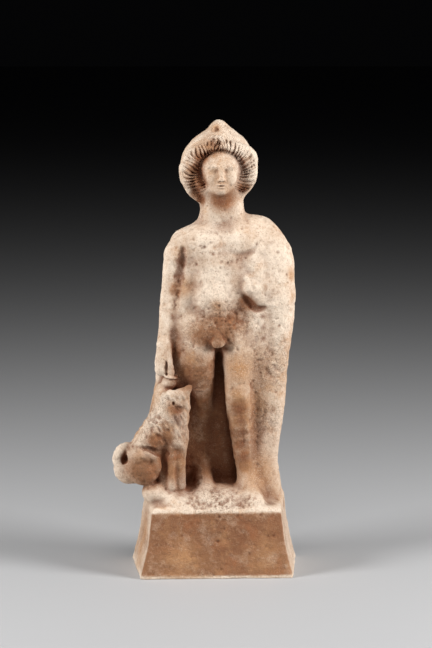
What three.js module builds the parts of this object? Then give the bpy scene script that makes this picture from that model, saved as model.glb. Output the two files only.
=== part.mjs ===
// A terracotta statuette of a standing youth with a seated dog, pressed in one mould with its plinth.
// Every form is a stroke of clay: a rounded solid that is blended into, or carved out of, the ones before it.
// The finished clay is meshed on a grid, and the mesh is then thinned to the faces that its shape needs.
// Units are millimetres. +X is the viewer's right, +Y goes from the front to the back, +Z is up.
// The origin is the middle of the plinth's underside.
import * as THREE from "three";

// Driving dimensions
const PLINTH = {
  height: 44,
  front: -28, // y of the front face at the foot
  back: 27,
  frontLean: 4.5, // how far the front face leans back over the height
  backLean: 1.5,
  frontHalfWidth: 47, // at the foot of the front face
  spread: 0.105, // how much wider it grows for each millimetre towards the back
  taper: 0.185, // how much narrower it grows for each millimetre up
  hollow: 1.3, // how far its sides curve in at half height
  topSlope: 0.05, // the top falls a little towards the front
  corner: 2.4, // softness of its upright edges
  rim: 2.8, // softness of the edges round its top
};
const GRID_STEP = 1; // spacing of the grid that the clay is meshed on
const FLAT = 0.4; // whatever lies lower than this belongs to the flat underside
const FLAT_CARE = 30; // how much more an error counts on the underside, which has to stay flat
const FACES = 9400; // triangles left once the mesh is thinned
const HEAD_FOOT = 228; // height above which the carving is finest
const HEAD_CARE = 4; // how much more an error counts there than on the body
const TERRACOTTA = { color: 0xc99a78, roughness: 0.92, metalness: 0 };

// Rounded masses have a centre, three half-sizes and the width over which they blend into the clay.
// Limbs, folds and locks are tubes along a curve: each point is [x, y, z, radius].

const HEAD = {
  cranium: { at: [1.8, 4.6, 251.5], radii: [23, 16.4, 21.6], blend: 3 },
  nape: { at: [1.4, 8.4, 236.4], radii: [17.4, 10.4, 9.6], blend: 3 },
};
const CAP = {
  crown: { at: [2.2, 3, 261], radii: [18.2, 14.5, 13.4], blend: 2 },
  slope: { at: [2.6, 2, 269], radii: [9.6, 8.6, 7.4], blend: 3 },
  tip: { at: [2.4, 1.6, 273.2], radii: [6, 5.4, 6.8], blend: 3 },
  knotLeft: { at: [-1.6, -8.6, 267.4], radii: [4, 3.8, 3.4], blend: 1 },
  knotRight: { at: [2, -8.6, 268], radii: [3.4, 3.4, 3], blend: 1 },
};
const CAP_CHIP = { at: [0.3, -4.8, 275], radii: [1.7, 2, 2.5], blend: 0.5 };
const FACE_HOLLOW = { at: [2, -14.4, 248.4], radii: [16, 14, 14], blend: 2.4 };

// The roll of hair round the face, open below, is cut across into locks
const ROLL = {
  path: [
    [-10.4, 0, 231.8, 2],
    [-14.4, -0.8, 235.8, 2.6],
    [-17.4, -3.4, 243, 4],
    [-17.6, -5, 251, 4.7],
    [-14.2, -6.4, 258.2, 4.8],
    [-7.4, -8.4, 261.6, 4.2],
    [2.4, -9.2, 262.6, 3.8],
    [13, -8.4, 262, 4.4],
    [19.9, -6.6, 258.2, 5.1],
    [21, -5, 251.2, 4.7],
    [20.8, -3.4, 244.6, 4.2],
    [19, -1, 239.4, 3.4],
    [16.6, 1, 235.2, 2.6],
  ],
  blend: 2.2,
};

// The locks are cut between two ellipses round the face, on the front of the head
const COMB = {
  middle: 2.4, // x
  height: 249.4,
  inner: 11.6,
  outer: [23, 19.4],
  locks: 50,
  twist: 0.3, // how far the cuts lean, in radians
  depth: 1.7,
  behind: 2, // y
};

// The face follows the rule of thirds between the hairline and the chin, and is nobody's
const FACE = {
  middle: 3.2, // x
  front: -14.6, // y of the brow
  hairline: 260,
  chin: 234.8,
  halfWidth: 12.3,
};

const NECK = {
  column: { at: [4.2, 4, 225], radii: [13.6, 11, 17], blend: 4 },
  root: { at: [6, 6, 215.6], radii: [17.6, 10, 8], blend: 5 },
  rightSlope: { at: [-7, 7, 209], radii: [14, 9.5, 5.6], blend: 5 },
  leftSlope: { at: [20, 7, 213.4], radii: [15, 10, 7.4], blend: 4 },
};

const TORSO = {
  ribs: { at: [3.6, 4, 191], radii: [20.2, 15, 25], blend: 4 },
  shoulderLine: { at: [4, 6, 206.5], radii: [27, 12, 10.5], blend: 5 },
  waist: { at: [2, 5, 173], radii: [18, 14.8, 18], blend: 6 },
  belly: { at: [0.2, -0.5, 170.5], radii: [13.5, 12, 10.5], blend: 5 },
  hips: { at: [-0.8, 4.5, 154], radii: [21.6, 15.4, 14.5], blend: 6 },
  groin: { at: [0.6, -3, 149], radii: [9.5, 8.5, 7.5], blend: 4 },
  rightBreast: { at: [-6.6, -2.4, 205], radii: [14, 6.4, 9], blend: 7 },
  leftBreast: { at: [14.6, -2.9, 206.6], radii: [13, 8, 8.6], blend: 5 },
  besideArm: { at: [-19.6, 3.4, 174], radii: [8, 7.8, 34], blend: 6 },
  besideWrist: { at: [-23, 4.6, 142], radii: [7, 6.4, 26], blend: 4 },
  besideCloak: { at: [20, 1, 182], radii: [10, 10.4, 29], blend: 6 },
  underCloak: { at: [33, 0.6, 174], radii: [13.6, 10, 42], blend: 6 },
  besideHip: { at: [22, 1, 146], radii: [8, 9.4, 30], blend: 5 },
  besideHand: { at: [-22.5, 2, 128], radii: [7, 7.4, 20], blend: 5 },
};
const LOINS = {
  scrotum: { at: [1.2, -11.4, 144.4], radii: [4.7, 4.7, 3.7], blend: 1.2 },
  member: { at: [1.2, -13.2, 147], radii: [2.4, 3.1, 3.6], blend: 1 },
};
const CROTCH_HOLLOW = { at: [1.6, -10.2, 140], radii: [5.2, 4, 2], blend: 1.4 };

// The ground that the feet and paws stand on swells up towards the cloak
const GROUND = {
  swell: { at: [1, 2.6, 41], radii: [38, 23, 12.6], blend: 4 },
  underDog: { at: [-24, -3, 42], radii: [17, 18, 8], blend: 4 },
};
const LEGS = {
  left: {
    path: [
      [11, 1.5, 151, 11.6],
      [13, -1.4, 138, 9.8],
      [13.6, -2.2, 126, 9],
      [14, -2.6, 113, 8.4],
      [14.6, -2, 104, 8],
      [15.6, -1, 92, 7.4],
      [16.8, 0.2, 80, 6.8],
      [18.2, 0.6, 68, 6],
      [19.8, -0.2, 56, 5.4],
    ],
    blend: 4,
  },
  leftFoot: {
    path: [
      [20, -2, 54, 5],
      [22.6, -9, 49.4, 4.8],
      [24.6, -15.6, 45, 4.2],
    ],
    blend: 6,
  },
  right: {
    path: [
      [-11, 1.5, 149, 12],
      [-10.8, -1.6, 136, 10.8],
      [-9.6, -0.4, 124, 9.4],
      [-8, 4.6, 111, 7.2],
      [-7.6, 10.2, 97, 6],
      [-7.4, 12.6, 82, 5.4],
      [-7.2, 12, 70, 5.2],
      [-7, 7.6, 58, 5],
    ],
    blend: 5,
  },
  rightFoot: {
    path: [
      [-7, 3, 55, 5],
      [-7.2, -5, 51, 5],
      [-7.6, -13.6, 46, 4.4],
    ],
    blend: 4,
  },
};
const CROTCH = {
  path: [
    [1.4, -5, 141, 1.5],
    [1.6, -2, 132, 1.6],
    [2.2, 2, 118, 2.6],
    [2.4, 2.4, 104, 3],
    [2.4, 2, 92, 3],
  ],
  blend: 1.6,
};

const RIGHT_ARM = {
  web: {
    path: [
      [-23.2, 3.4, 188, 4.4],
      [-24.4, 2.6, 172, 4.8],
      [-25, 2, 158, 4.8],
      [-25.6, 1.8, 146, 4.6],
    ],
    blend: 2.5,
  },
  shoulder: {
    path: [
      [-20, 4, 202.6, 8.6],
      [-23.8, 2.6, 196.6, 7.4],
    ],
    blend: 4,
  },
  arm: {
    path: [
      [-24.4, 2.4, 198, 6.6],
      [-26.4, 2, 190, 5.9],
      [-27.8, 1.6, 180, 5],
      [-29.2, 1.2, 168, 4.9],
      [-30.2, 0, 156, 4.8],
      [-31.6, -2, 144, 4.4],
    ],
    blend: 2.5,
  },
  hand: {
    path: [
      [-31.6, -3, 141, 4.9],
      [-33, -4.4, 133, 4.5],
      [-33.4, -5, 126.5, 4],
    ],
    blend: 2,
  },
  thumb: {
    path: [
      [-29.4, -5.2, 140, 2.6],
      [-28.4, -7.4, 132, 2.3],
      [-27.6, -7.8, 125, 2.2],
    ],
    blend: 1,
  },
};
const GRIP = {
  front: {
    path: [
      [-30.3, -8.8, 132.6, 0.6],
      [-30.3, -8.6, 129.6, 0.8],
      [-30.2, -8.4, 126.4, 0.7],
    ],
    blend: 0.5,
  },
  depth: {
    path: [
      [-30.3, -7.6, 132, 0.5],
      [-30.3, -7.4, 129.6, 0.7],
      [-30.2, -7.2, 127, 0.6],
    ],
    blend: 0.4,
  },
};
// The small oil flask in the right hand: a flat lip over a round body
const FLASK = {
  body: { at: [-28.6, -3.8, 118.6], radii: [4.5, 4.7, 4.5], blend: 1 },
  lip: { at: [-27.7, -6.8, 122.4], radii: [4.5, 4.4, 1.3], blend: 0.5, lean: 10 },
};

// The cloak hangs behind the whole figure as one thick sheet, seen here as its outline from the front
const CLOAK = {
  front: 9.5,
  back: 23,
  round: 6.5,
  blend: 4,
  leftEdge: [
    [-40, 36],
    [-40.5, 70],
    [-40.3, 98],
    [-37.2, 114],
    [-34, 150],
    [-30, 185],
    [-26, 200],
    [-18, 209],
    [-8, 215],
  ],
  rightEdge: [
    [16, 220],
    [26, 220],
    [34, 217.4],
    [39.4, 212.4],
    [43.6, 206],
    [46.4, 198],
    [48.6, 186],
    [49.5, 174],
    [50, 160],
    [48.8, 147],
    [46, 130],
    [45, 114],
    [42.6, 92],
    [39, 76],
    [37.6, 65],
    [41.4, 55],
    [43, 36],
  ],
};
// Soft swells down the cloak's back
const CLOAK_BACK = {
  left: { at: [30, 15.8, 122], radii: [11, 9.8, 84], blend: 5 },
  middle: { at: [7, 16.2, 118], radii: [11.5, 9.8, 88], blend: 5 },
  right: { at: [-17, 15.8, 112], radii: [11.5, 9.6, 78], blend: 5 },
};
// The left arm bends under the cloak, and its fist gathers the cloth at the waist
const LEFT_ARM = {
  upper: {
    path: [
      [26, 5, 208, 10.6],
      [35.8, 3.8, 197, 11.2],
      [38.2, 2.2, 184, 10.2],
      [38.2, 1.6, 172, 9.6],
    ],
    blend: 6,
  },
  fore: {
    path: [
      [38, 2, 172, 9],
      [32, 0, 174, 8],
      [27, -1.4, 177, 7],
    ],
    blend: 6,
  },
};
const FIST = {
  back: {
    path: [
      [20.6, -6.8, 181.6, 5],
      [23.6, -7.4, 177, 5.6],
      [27, -6.2, 171.8, 5],
    ],
    blend: 2.6,
  },
  knuckles: {
    path: [
      [18.8, -8, 183, 3],
      [20.2, -8.8, 177.6, 3.4],
    ],
    blend: 2,
  },
};
const FIST_HOLLOW = { at: [23, -13.6, 178], radii: [1.2, 1.5, 1.7], blend: 1 };

// Raised folds, and the grooves cut between them, from the shoulder to the plinth
const FOLDS = {
  outer: {
    path: [
      [38.4, 1, 168, 9],
      [38, 1.4, 150, 9],
      [36.4, 2.6, 126, 8.4],
      [34.8, 4, 100, 8],
      [31.8, 5, 72, 7.4],
      [32.8, 5, 50, 8],
    ],
    blend: 5,
  },
  middle: {
    path: [
      [30.6, 0.6, 164, 8.4],
      [30.2, 1.6, 140, 8.2],
      [28.6, 3.6, 112, 7.4],
      [27.4, 5, 84, 6.8],
      [29, 4.6, 52, 7.2],
    ],
    blend: 4,
  },
  inner: {
    path: [
      [25.4, -2.6, 163, 3.6],
      [25, -1.4, 150, 3.9],
      [24.4, -0.4, 134, 4.2],
      [22.8, 0.6, 114, 4.4],
      [20.8, 1.4, 98, 4.4],
      [20.8, 1.4, 80, 4.4],
      [22.4, 0.6, 63, 4.6],
      [26, -2, 48, 5],
    ],
    blend: 2.6,
  },
  behindArm: {
    path: [
      [-26, 8, 190, 5],
      [-28, 8, 150, 5.4],
      [-30.6, 7.4, 122, 6],
      [-33, 6.4, 100, 7],
    ],
    blend: 4,
  },
  collar: {
    path: [
      [24.8, -4, 203, 4],
      [23.4, -5.4, 196, 4.2],
      [26, -6, 187, 4.6],
      [30, -5, 178, 4.6],
    ],
    blend: 4.5,
  },
};
const GROOVES = {
  besideArm: {
    path: [
      [-20, -5.6, 201, 0.8],
      [-21, -4.6, 194, 2.3],
      [-22, -4.2, 185, 1.9],
      [-23.6, -4, 173, 1.2],
      [-24.8, -4, 164, 0.4],
    ],
    blend: 2.6,
  },
  breast: {
    path: [
      [9, -11, 200.4, 0.5],
      [15.4, -10.2, 197.6, 1.5],
      [21.2, -10.4, 199.8, 1.4],
      [26, -9.8, 204.4, 0.5],
    ],
    blend: 1.8,
  },
  scar: {
    path: [
      [-15.6, -7, 200.4, 0.3],
      [-13.4, -8, 201.2, 0.5],
      [-11.6, -8.8, 203, 0.3],
      [-9.4, -9.4, 203.4, 0.6],
      [-7.2, -10, 205.6, 0.4],
    ],
    blend: 0.6,
  },
  trough: {
    path: [
      [32, -10.6, 162, 1.6],
      [32.6, -10, 151, 1.6],
      [33.2, -9, 138, 1.2],
    ],
    blend: 5,
  },
  shin: {
    path: [
      [15, -11.6, 106, 1.6],
      [15.8, -10.2, 92, 1.9],
      [17, -8.6, 77, 1.9],
      [18.4, -7.2, 64, 1.3],
    ],
    blend: 4,
  },
  belowFist: {
    path: [
      [16.8, -11, 175, 1.6],
      [19.2, -9.6, 170.2, 2.9],
      [24.6, -9.2, 165.4, 3],
      [29.4, -9, 165.2, 1.6],
    ],
    blend: 1.2,
  },
};

const DOG = {
  core: {
    path: [
      [-32, 3, 100, 7.6],
      [-38, 3, 82, 9],
      [-44, 2, 66, 9],
    ],
    blend: 4,
  },
  back: {
    path: [
      [-28.6, -7, 103, 8],
      [-33, -6.6, 94, 9.8],
      [-39, -6.2, 84, 10.2],
      [-45.4, -5.6, 73, 10.4],
    ],
    blend: 3,
  },
  chest: {
    path: [
      [-24.6, -8, 104, 7.2],
      [-24.8, -8.6, 94, 7.5],
      [-24.8, -8.6, 84, 7.4],
    ],
    blend: 3,
  },
  brisket: {
    path: [
      [-23.8, -6, 88, 6.4],
      [-24.4, -6, 70, 4.8],
      [-24.4, -6.6, 50, 4.8],
    ],
    blend: 3,
  },
  throat: {
    path: [
      [-23.4, -9, 106, 5.8],
      [-22.8, -8.6, 98, 6],
    ],
    blend: 3,
  },
  flank: {
    path: [
      [-32, -4.6, 86, 7.4],
      [-31, -4.8, 68, 6.4],
      [-30, -5.4, 48, 6.4],
    ],
    blend: 4,
  },
  farForeleg: {
    path: [
      [-21, -8.4, 84, 3.4],
      [-21.4, -9, 70, 2.6],
      [-21.4, -9.6, 54, 2.7],
    ],
    blend: 2,
  },
  nearForeleg: {
    path: [
      [-27, -10, 84, 4],
      [-27.6, -11, 72, 2.4],
      [-27.4, -11.6, 54, 2.5],
    ],
    blend: 2,
  },
  farPaw: {
    path: [
      [-21.2, -10, 47.6, 3],
      [-20, -14.6, 45.8, 2.6],
    ],
    blend: 2.5,
  },
  nearPaw: {
    path: [
      [-26.4, -13, 47.6, 3],
      [-25.4, -17.4, 45.6, 2.6],
    ],
    blend: 2.5,
  },
  hindPaw: {
    path: [
      [-35.6, -12, 50, 3.8],
      [-30, -14.8, 47.2, 2.8],
    ],
    blend: 4,
  },
  skull: {
    path: [
      [-28.4, -8.8, 108.2, 6],
      [-23.4, -9.6, 108.6, 5.6],
    ],
    blend: 2.4,
  },
  brow: {
    path: [
      [-31.4, -11.6, 110.6, 2.6],
      [-27, -13, 112.4, 2.6],
      [-22, -13.4, 113, 2.8],
    ],
    blend: 2,
  },
  muzzle: {
    path: [
      [-23, -11.6, 111, 4],
      [-19.4, -12, 113.4, 3.6],
      [-16.4, -12, 116.4, 2.2],
    ],
    blend: 1.6,
  },
  jowl: {
    path: [
      [-18.6, -11, 110.4, 2.6],
      [-19, -10.6, 104, 3],
    ],
    blend: 2,
  },
  ear: {
    path: [
      [-28.6, -12.6, 113.6, 1.9],
      [-31.6, -12.2, 109.4, 2.5],
      [-32.2, -11, 104.4, 1.7],
    ],
    blend: 0.9,
  },
};
const HAUNCH = {
  thigh: { at: [-44.8, -9.4, 66.2], radii: [10.2, 7.2, 11], blend: 1.4 },
  rump: { at: [-52.8, -3.4, 64.6], radii: [10.6, 7.4, 9.8], blend: 2 },
  footing: { at: [-38, -5, 50], radii: [8, 12, 7], blend: 3 },
  backing: { at: [-31, 3, 66], radii: [12, 9.5, 24], blend: 2 },
  ruff: { at: [-33.8, -2.4, 107], radii: [5, 7.6, 11], blend: 2.5 },
  tailRoot: { at: [-57.4, -1.4, 72.4], radii: [5, 4.4, 7.6], blend: 2 },
};
const KNEE = {
  path: [
    [-48, -13.8, 74, 2.2],
    [-43, -14.6, 75, 2.6],
    [-38, -13.6, 73, 2.4],
    [-35.8, -12.6, 67, 2],
  ],
  blend: 3.6,
};
const TAIL = {
  path: [
    [-52, -3.6, 77.6, 3.4],
    [-57, -4.8, 77.4, 3.4],
    [-60.2, -5.4, 73.8, 3.4],
    [-60.6, -5.2, 69, 3.2],
    [-57.6, -5.4, 65, 3.4],
  ],
  blend: 1,
};
const TAIL_CURL = { at: [-56.2, -8.4, 71], radii: [1.8, 3.4, 3], blend: 0.8, lean: 25 };
const JAW_HOLLOW = { at: [-22.6, -17, 104], radii: [4.2, 3, 2.4], blend: 2 };
const EYE = { at: [-26.2, -15.2, 107.4], radii: [1.1, 1.6, 1.1], blend: 0.8 };
const DOG_GROOVES = {
  belly: {
    path: [
      [-47, -15.6, 79.8, 0.8],
      [-41, -15.4, 78.8, 1.7],
      [-35.6, -13.8, 76.4, 2.2],
      [-31, -12.4, 76.4, 1.6],
    ],
    blend: 1.8,
  },
  besideHaunch: {
    path: [
      [-32.4, -11.6, 74, 1.8],
      [-32.6, -11.2, 67, 1.8],
      [-32.2, -12, 59, 1.4],
    ],
    blend: 1.6,
  },
  betweenLegs: {
    path: [
      [-24.6, -13.4, 78, 0.6],
      [-24.6, -13, 68, 0.9],
      [-24.4, -13.4, 56, 0.8],
    ],
    blend: 1.4,
  },
};

// Strokes of clay

const strokes = [];

// Every stroke is kept with the box outside of which it changes nothing
function keep(measure, box, blend, change) {
  box.expandByScalar(blend + 2 * GRID_STEP);
  strokes.push({ measure, box, change });
}

// An ellipsoid, leaning by that many degrees to the viewer's right
function egg({ at, radii, blend, lean = 0 }) {
  const angle = THREE.MathUtils.degToRad(lean);
  const [sine, cosine] = [Math.sin(angle), Math.cos(angle)];
  const [a, b, c] = radii;
  const distance = (x, y, z) => {
    const [dx, dy, dz] = [x - at[0], y - at[1], z - at[2]];
    const [across, up] = [dx * cosine - dz * sine, dx * sine + dz * cosine];
    const near = Math.hypot(across / a, dy / b, up / c);
    const slope = Math.hypot(across / (a * a), dy / (b * b), up / (c * c));
    return slope === 0 ? -Math.min(a, b, c) : (near * (near - 1)) / slope;
  };
  const half = new THREE.Vector3(...(lean ? radii.map(() => Math.max(a, b, c)) : radii));
  const centre = new THREE.Vector3(...at);
  const box = new THREE.Box3(centre.clone().sub(half), centre.clone().add(half));
  return { distance, box, blend };
}

// A tube along a smooth curve, whose radius changes from point to point
function tube({ path, blend }) {
  const curve = new THREE.CatmullRomCurve3(path.map(([x, y, z]) => new THREE.Vector3(x, y, z)));
  const steps = (path.length - 1) * (path.length > 2 ? 4 : 1);
  const beads = [];
  const box = new THREE.Box3();
  for (let i = 0; i <= steps; i++) {
    const along = (i / steps) * (path.length - 1);
    const span = Math.min(Math.floor(along), path.length - 2);
    const radius = THREE.MathUtils.lerp(path[span][3], path[span + 1][3], along - span);
    const point = curve.getPoint(i / steps);
    beads.push({ point, radius });
    box.expandByPoint(point.clone().addScalar(radius));
    box.expandByPoint(point.clone().addScalar(-radius));
  }
  const distance = (x, y, z) => {
    let least = Infinity;
    for (let i = 1; i < beads.length; i++) {
      const { point: p, radius: r } = beads[i - 1];
      const { point: q, radius: s } = beads[i];
      const [dx, dy, dz] = [q.x - p.x, q.y - p.y, q.z - p.z];
      const dot = (x - p.x) * dx + (y - p.y) * dy + (z - p.z) * dz;
      const t = Math.min(1, Math.max(0, dot / (dx * dx + dy * dy + dz * dz)));
      const away = Math.hypot(x - p.x - t * dx, y - p.y - t * dy, z - p.z - t * dz);
      least = Math.min(least, away - r - t * (s - r));
    }
    return least;
  };
  return { distance, box, blend };
}

// A sheet with an outline in X and Z, between two depths, with rounded edges
function sheet({ leftEdge, rightEdge, front, back, round, blend }) {
  const corners = [leftEdge, rightEdge].flatMap((edge) => {
    const curve = new THREE.SplineCurve(edge.map(([x, z]) => new THREE.Vector2(x, z)));
    return curve.getPoints(3 * (edge.length - 1));
  });
  const inside = (x, z) => {
    let within = false;
    for (let i = 0, j = corners.length - 1; i < corners.length; j = i++) {
      const [p, q] = [corners[i], corners[j]];
      if (p.y > z !== q.y > z && x < ((q.x - p.x) * (z - p.y)) / (q.y - p.y) + p.x) within = !within;
    }
    return within;
  };
  const edgeDistance = (x, z) => {
    let least = Infinity;
    for (let i = 0, j = corners.length - 1; i < corners.length; j = i++) {
      const [p, q] = [corners[i], corners[j]];
      const [dx, dz] = [q.x - p.x, q.y - p.y];
      const t = THREE.MathUtils.clamp(((x - p.x) * dx + (z - p.y) * dz) / (dx * dx + dz * dz), 0, 1);
      least = Math.min(least, Math.hypot(x - p.x - t * dx, z - p.y - t * dz));
    }
    return inside(x, z) ? -least : least;
  };
  // The outline's distance doesn't depend on y, so it is worked out once for each column
  const columns = new Map();
  const distance = (x, y, z) => {
    const key = `${x},${z}`;
    if (!columns.has(key)) columns.set(key, edgeDistance(x, z));
    const across = columns.get(key) + round;
    const through = Math.abs(y - (front + back) / 2) - (back - front) / 2 + round;
    const outside = Math.hypot(Math.max(across, 0), Math.max(through, 0));
    return outside + Math.min(Math.max(across, through), 0) - round;
  };
  const box = new THREE.Box3();
  for (const { x, y: z } of corners) {
    box.expandByPoint(new THREE.Vector3(x, front, z));
    box.expandByPoint(new THREE.Vector3(x, back, z));
  }
  return { distance, box, blend };
}

// The plinth: a block with sloping faces, cut from six planes whose meeting edges are softened
function block(size) {
  const { height, front, back, frontLean, backLean, frontHalfWidth, spread, taper, hollow, topSlope } = size;
  const middle = (front + back) / 2;
  const distance = (x, y, z) => {
    const curvedIn = hollow * Math.sin((Math.PI * z) / height);
    const halfWidth = frontHalfWidth + spread * (y - front) - taper * z - curvedIn;
    const frontFace = front + (frontLean * z) / height;
    const backFace = back - (backLean * z) / height;
    const ends = softMax(frontFace - y, y - backFace, size.corner);
    const walls = softMax(Math.abs(x) - halfWidth, ends, size.corner);
    return softMax(walls, z - height - topSlope * (y - middle), size.rim);
  };
  const reach = frontHalfWidth + spread * (back - front);
  const [low, high] = [new THREE.Vector3(-reach, front, -2), new THREE.Vector3(reach, back, height + 2)];
  return { distance, box: new THREE.Box3(low, high), blend: 2.5 };
}

// Radial cuts between the locks of the roll, fading out towards the face and the smooth outer rim
function comb({ middle, height, inner, outer, locks, twist, depth, behind }) {
  const start = inner / outer[0];
  const ease = (value) => THREE.MathUtils.clamp(value, 0, 1);
  const cut = (x, y, z) => {
    const [across, up] = [x - middle, z - height];
    const reach = Math.hypot(across / outer[0], up / outer[1]);
    let angle = Math.atan2(across, up);
    angle += twist * Math.sign(across) * reach * reach + 0.04 * Math.sin(9 * angle + 6 * reach);
    const uneven = 0.7 + 0.3 * Math.cos(7 * angle + 9 * reach);
    const groove = Math.abs(Math.cos((angle * locks) / 2)) ** 3 * uneven;
    const ring = ease((reach - start) / 0.15) * ease((1 - reach) / 0.1);
    return depth * groove * ring * ease((2.7 - Math.abs(angle)) / 0.2) * ease((behind - y) / 3);
  };
  const box = new THREE.Box3(
    new THREE.Vector3(middle - outer[0], -20, height - outer[1]),
    new THREE.Vector3(middle + outer[0], behind, height + outer[1]),
  );
  keep(cut, box, 0, (clay, amount) => clay + amount);
}

function press(shape) {
  keep(shape.distance, shape.box, shape.blend, (clay, away) => softMin(clay, away, shape.blend));
}
function carve(shape) {
  keep(shape.distance, shape.box, shape.blend, (clay, away) => softMax(clay, -away, shape.blend));
}
function pressAll(form, sizes) {
  Object.values(sizes).forEach((size) => press(form(size)));
}
function carveAll(form, sizes) {
  Object.values(sizes).forEach((size) => carve(form(size)));
}

// The smaller or larger of two distances, eased over the blend where they are close
function softMin(a, b, blend) {
  const near = Math.max(blend - Math.abs(a - b), 0) / blend;
  return Math.min(a, b) - near * near * blend * 0.25;
}
function softMax(a, b, blend) {
  return -softMin(-a, -b, blend);
}

// The statuette's parts

function pressFace({ middle, front, hairline, chin, halfWidth }) {
  const third = (hairline - chin) / 3;
  const brow = hairline - third;
  const noseFoot = brow - third;
  const eye = brow - 0.25 * third;
  const mouth = noseFoot - third / 3;
  const eyeGap = 0.4 * halfWidth;
  press(egg({ at: [middle, front + 11.4, brow - 0.4], radii: [halfWidth, 11.4, 12.4], blend: 1.4 }));
  press(egg({ at: [middle, front + 9.4, brow - 6.4], radii: [0.72 * halfWidth, 9, 9], blend: 4 }));
  press(egg({ at: [middle, front + 7.6, chin + 5.2], radii: [0.46 * halfWidth, 7.2, 5.4], blend: 4 }));
  const nose = [
    [middle, front + 1.2, brow, 1.3],
    [middle, front - 1.2, noseFoot + 2, 1.7],
  ];
  press(tube({ path: nose, blend: 1.4 }));
  press(egg({ at: [middle, front - 0.3, noseFoot + 1.3], radii: [2.6, 2.2, 1.5], blend: 0.9 }));
  for (const side of [-1, 1]) {
    const x = middle + side * eyeGap;
    carve(egg({ at: [x, front - 0.2, eye], radii: [2.7, 2.2, 1.8], blend: 1.6 }));
    press(egg({ at: [x, front + 2.8, eye], radii: [2.2, 1.9, 1.3], blend: 0.5 }));
    press(egg({ at: [middle + side * 4.9, front + 4.1, noseFoot + 2], radii: [3.6, 3.2, 3.8], blend: 2.5 }));
  }
  press(egg({ at: [middle, front + 0.9, mouth + 0.7], radii: [3, 1.7, 0.9], blend: 0.6 }));
  press(egg({ at: [middle, front + 1.1, mouth - 0.9], radii: [2.5, 1.7, 1], blend: 0.6 }));
  press(egg({ at: [middle, front + 3.4, chin + 2.6], radii: [3, 3, 2.4], blend: 2.4 }));
}

function pressHead() {
  pressAll(egg, HEAD);
  pressAll(egg, CAP);
  carve(egg(CAP_CHIP));
  press(tube(ROLL));
  carve(egg(FACE_HOLLOW));
  comb(COMB);
  pressFace(FACE);
}

function pressBody() {
  pressAll(egg, NECK);
  pressAll(egg, TORSO);
  pressAll(tube, LEGS);
  carve(tube(CROTCH));
  pressAll(egg, LOINS);
  carve(egg(CROTCH_HOLLOW));
  pressAll(tube, RIGHT_ARM);
  carveAll(tube, GRIP);
  pressAll(egg, FLASK);
}

function pressCloakedArm() {
  pressAll(tube, FOLDS);
  pressAll(tube, LEFT_ARM);
  carveAll(tube, GROOVES);
  pressAll(tube, FIST);
  carve(egg(FIST_HOLLOW));
}

function pressDog() {
  pressAll(tube, DOG);
  pressAll(egg, HAUNCH);
  press(tube(KNEE));
  press(tube(TAIL));
  carveAll(tube, DOG_GROOVES);
  [TAIL_CURL, JAW_HOLLOW, EYE].forEach((hollow) => carve(egg(hollow)));
}

press(block(PLINTH));
pressAll(egg, GROUND);
press(sheet(CLOAK));
pressAll(egg, CLOAK_BACK);
pressHead();
pressBody();
pressCloakedArm();
pressDog();

// The clay as a field of distances on a grid, cut off flat at the underside

function fill() {
  const whole = new THREE.Box3();
  strokes.forEach((stroke) => whole.union(stroke.box));
  const low = new THREE.Vector3(whole.min.x, whole.min.y, -1.5 * GRID_STEP);
  const count = whole.max.clone().sub(low).divideScalar(GRID_STEP).ceil().addScalar(1).toArray();
  const values = new Float32Array(count[0] * count[1] * count[2]).fill(20);
  const index = (i, j, k) => i + count[0] * (j + count[1] * k);
  const at = (axis, i) => low.getComponent(axis) + i * GRID_STEP;
  for (const { measure, box, change } of strokes) {
    const from = [0, 1, 2].map((axis) =>
      Math.max(0, Math.floor((box.min.getComponent(axis) - at(axis, 0)) / GRID_STEP)));
    const to = [0, 1, 2].map((axis) =>
      Math.min(count[axis] - 1, Math.ceil((box.max.getComponent(axis) - at(axis, 0)) / GRID_STEP)));
    for (let k = from[2]; k <= to[2]; k++)
      for (let j = from[1]; j <= to[1]; j++)
        for (let i = from[0]; i <= to[0]; i++) {
          const here = index(i, j, k);
          values[here] = change(values[here], measure(at(0, i), at(1, j), at(2, k)));
        }
  }
  for (let k = 0; k < count[2]; k++)
    for (let j = 0; j < count[1]; j++)
      for (let i = 0; i < count[0]; i++) {
        const here = index(i, j, k);
        values[here] = Math.max(values[here], -at(2, k));
      }
  mend(values, count, index);
  closeHollows(values, count);
  return { values, count, index, at };
}

// The eight corners of a cell, each with the three it shares an edge with
const CORNERS = [0, 1, 2, 3, 4, 5, 6, 7].map((n) => [n & 1, (n >> 1) & 1, n >> 2]);

function isOnePiece(corners) {
  if (!corners.length) return true;
  const reached = new Set([corners[0]]);
  for (const n of reached) for (const bit of [1, 2, 4]) if (corners.includes(n ^ bit)) reached.add(n ^ bit);
  return reached.size === corners.length;
}

// Where two surfaces would meet in one cell, the cell is filled, so the skin never touches itself
function mend(values, count, index) {
  for (let mended = 1; mended > 0; ) {
    mended = 0;
    for (let k = 0; k < count[2] - 1; k++)
      for (let j = 0; j < count[1] - 1; j++)
        for (let i = 0; i < count[0] - 1; i++) {
          const cells = CORNERS.map(([a, b, c]) => index(i + a, j + b, k + c));
          const full = cells.map((cell, n) => (values[cell] < 0 ? n : -1)).filter((n) => n >= 0);
          if (full.length < 2 || full.length > 6) continue;
          const empty = cells.map((cell, n) => (values[cell] < 0 ? -1 : n)).filter((n) => n >= 0);
          if (isOnePiece(full) && isOnePiece(empty)) continue;
          empty.forEach((n) => (values[cells[n]] = -0.4 * GRID_STEP));
          mended++;
        }
  }
}

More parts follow.
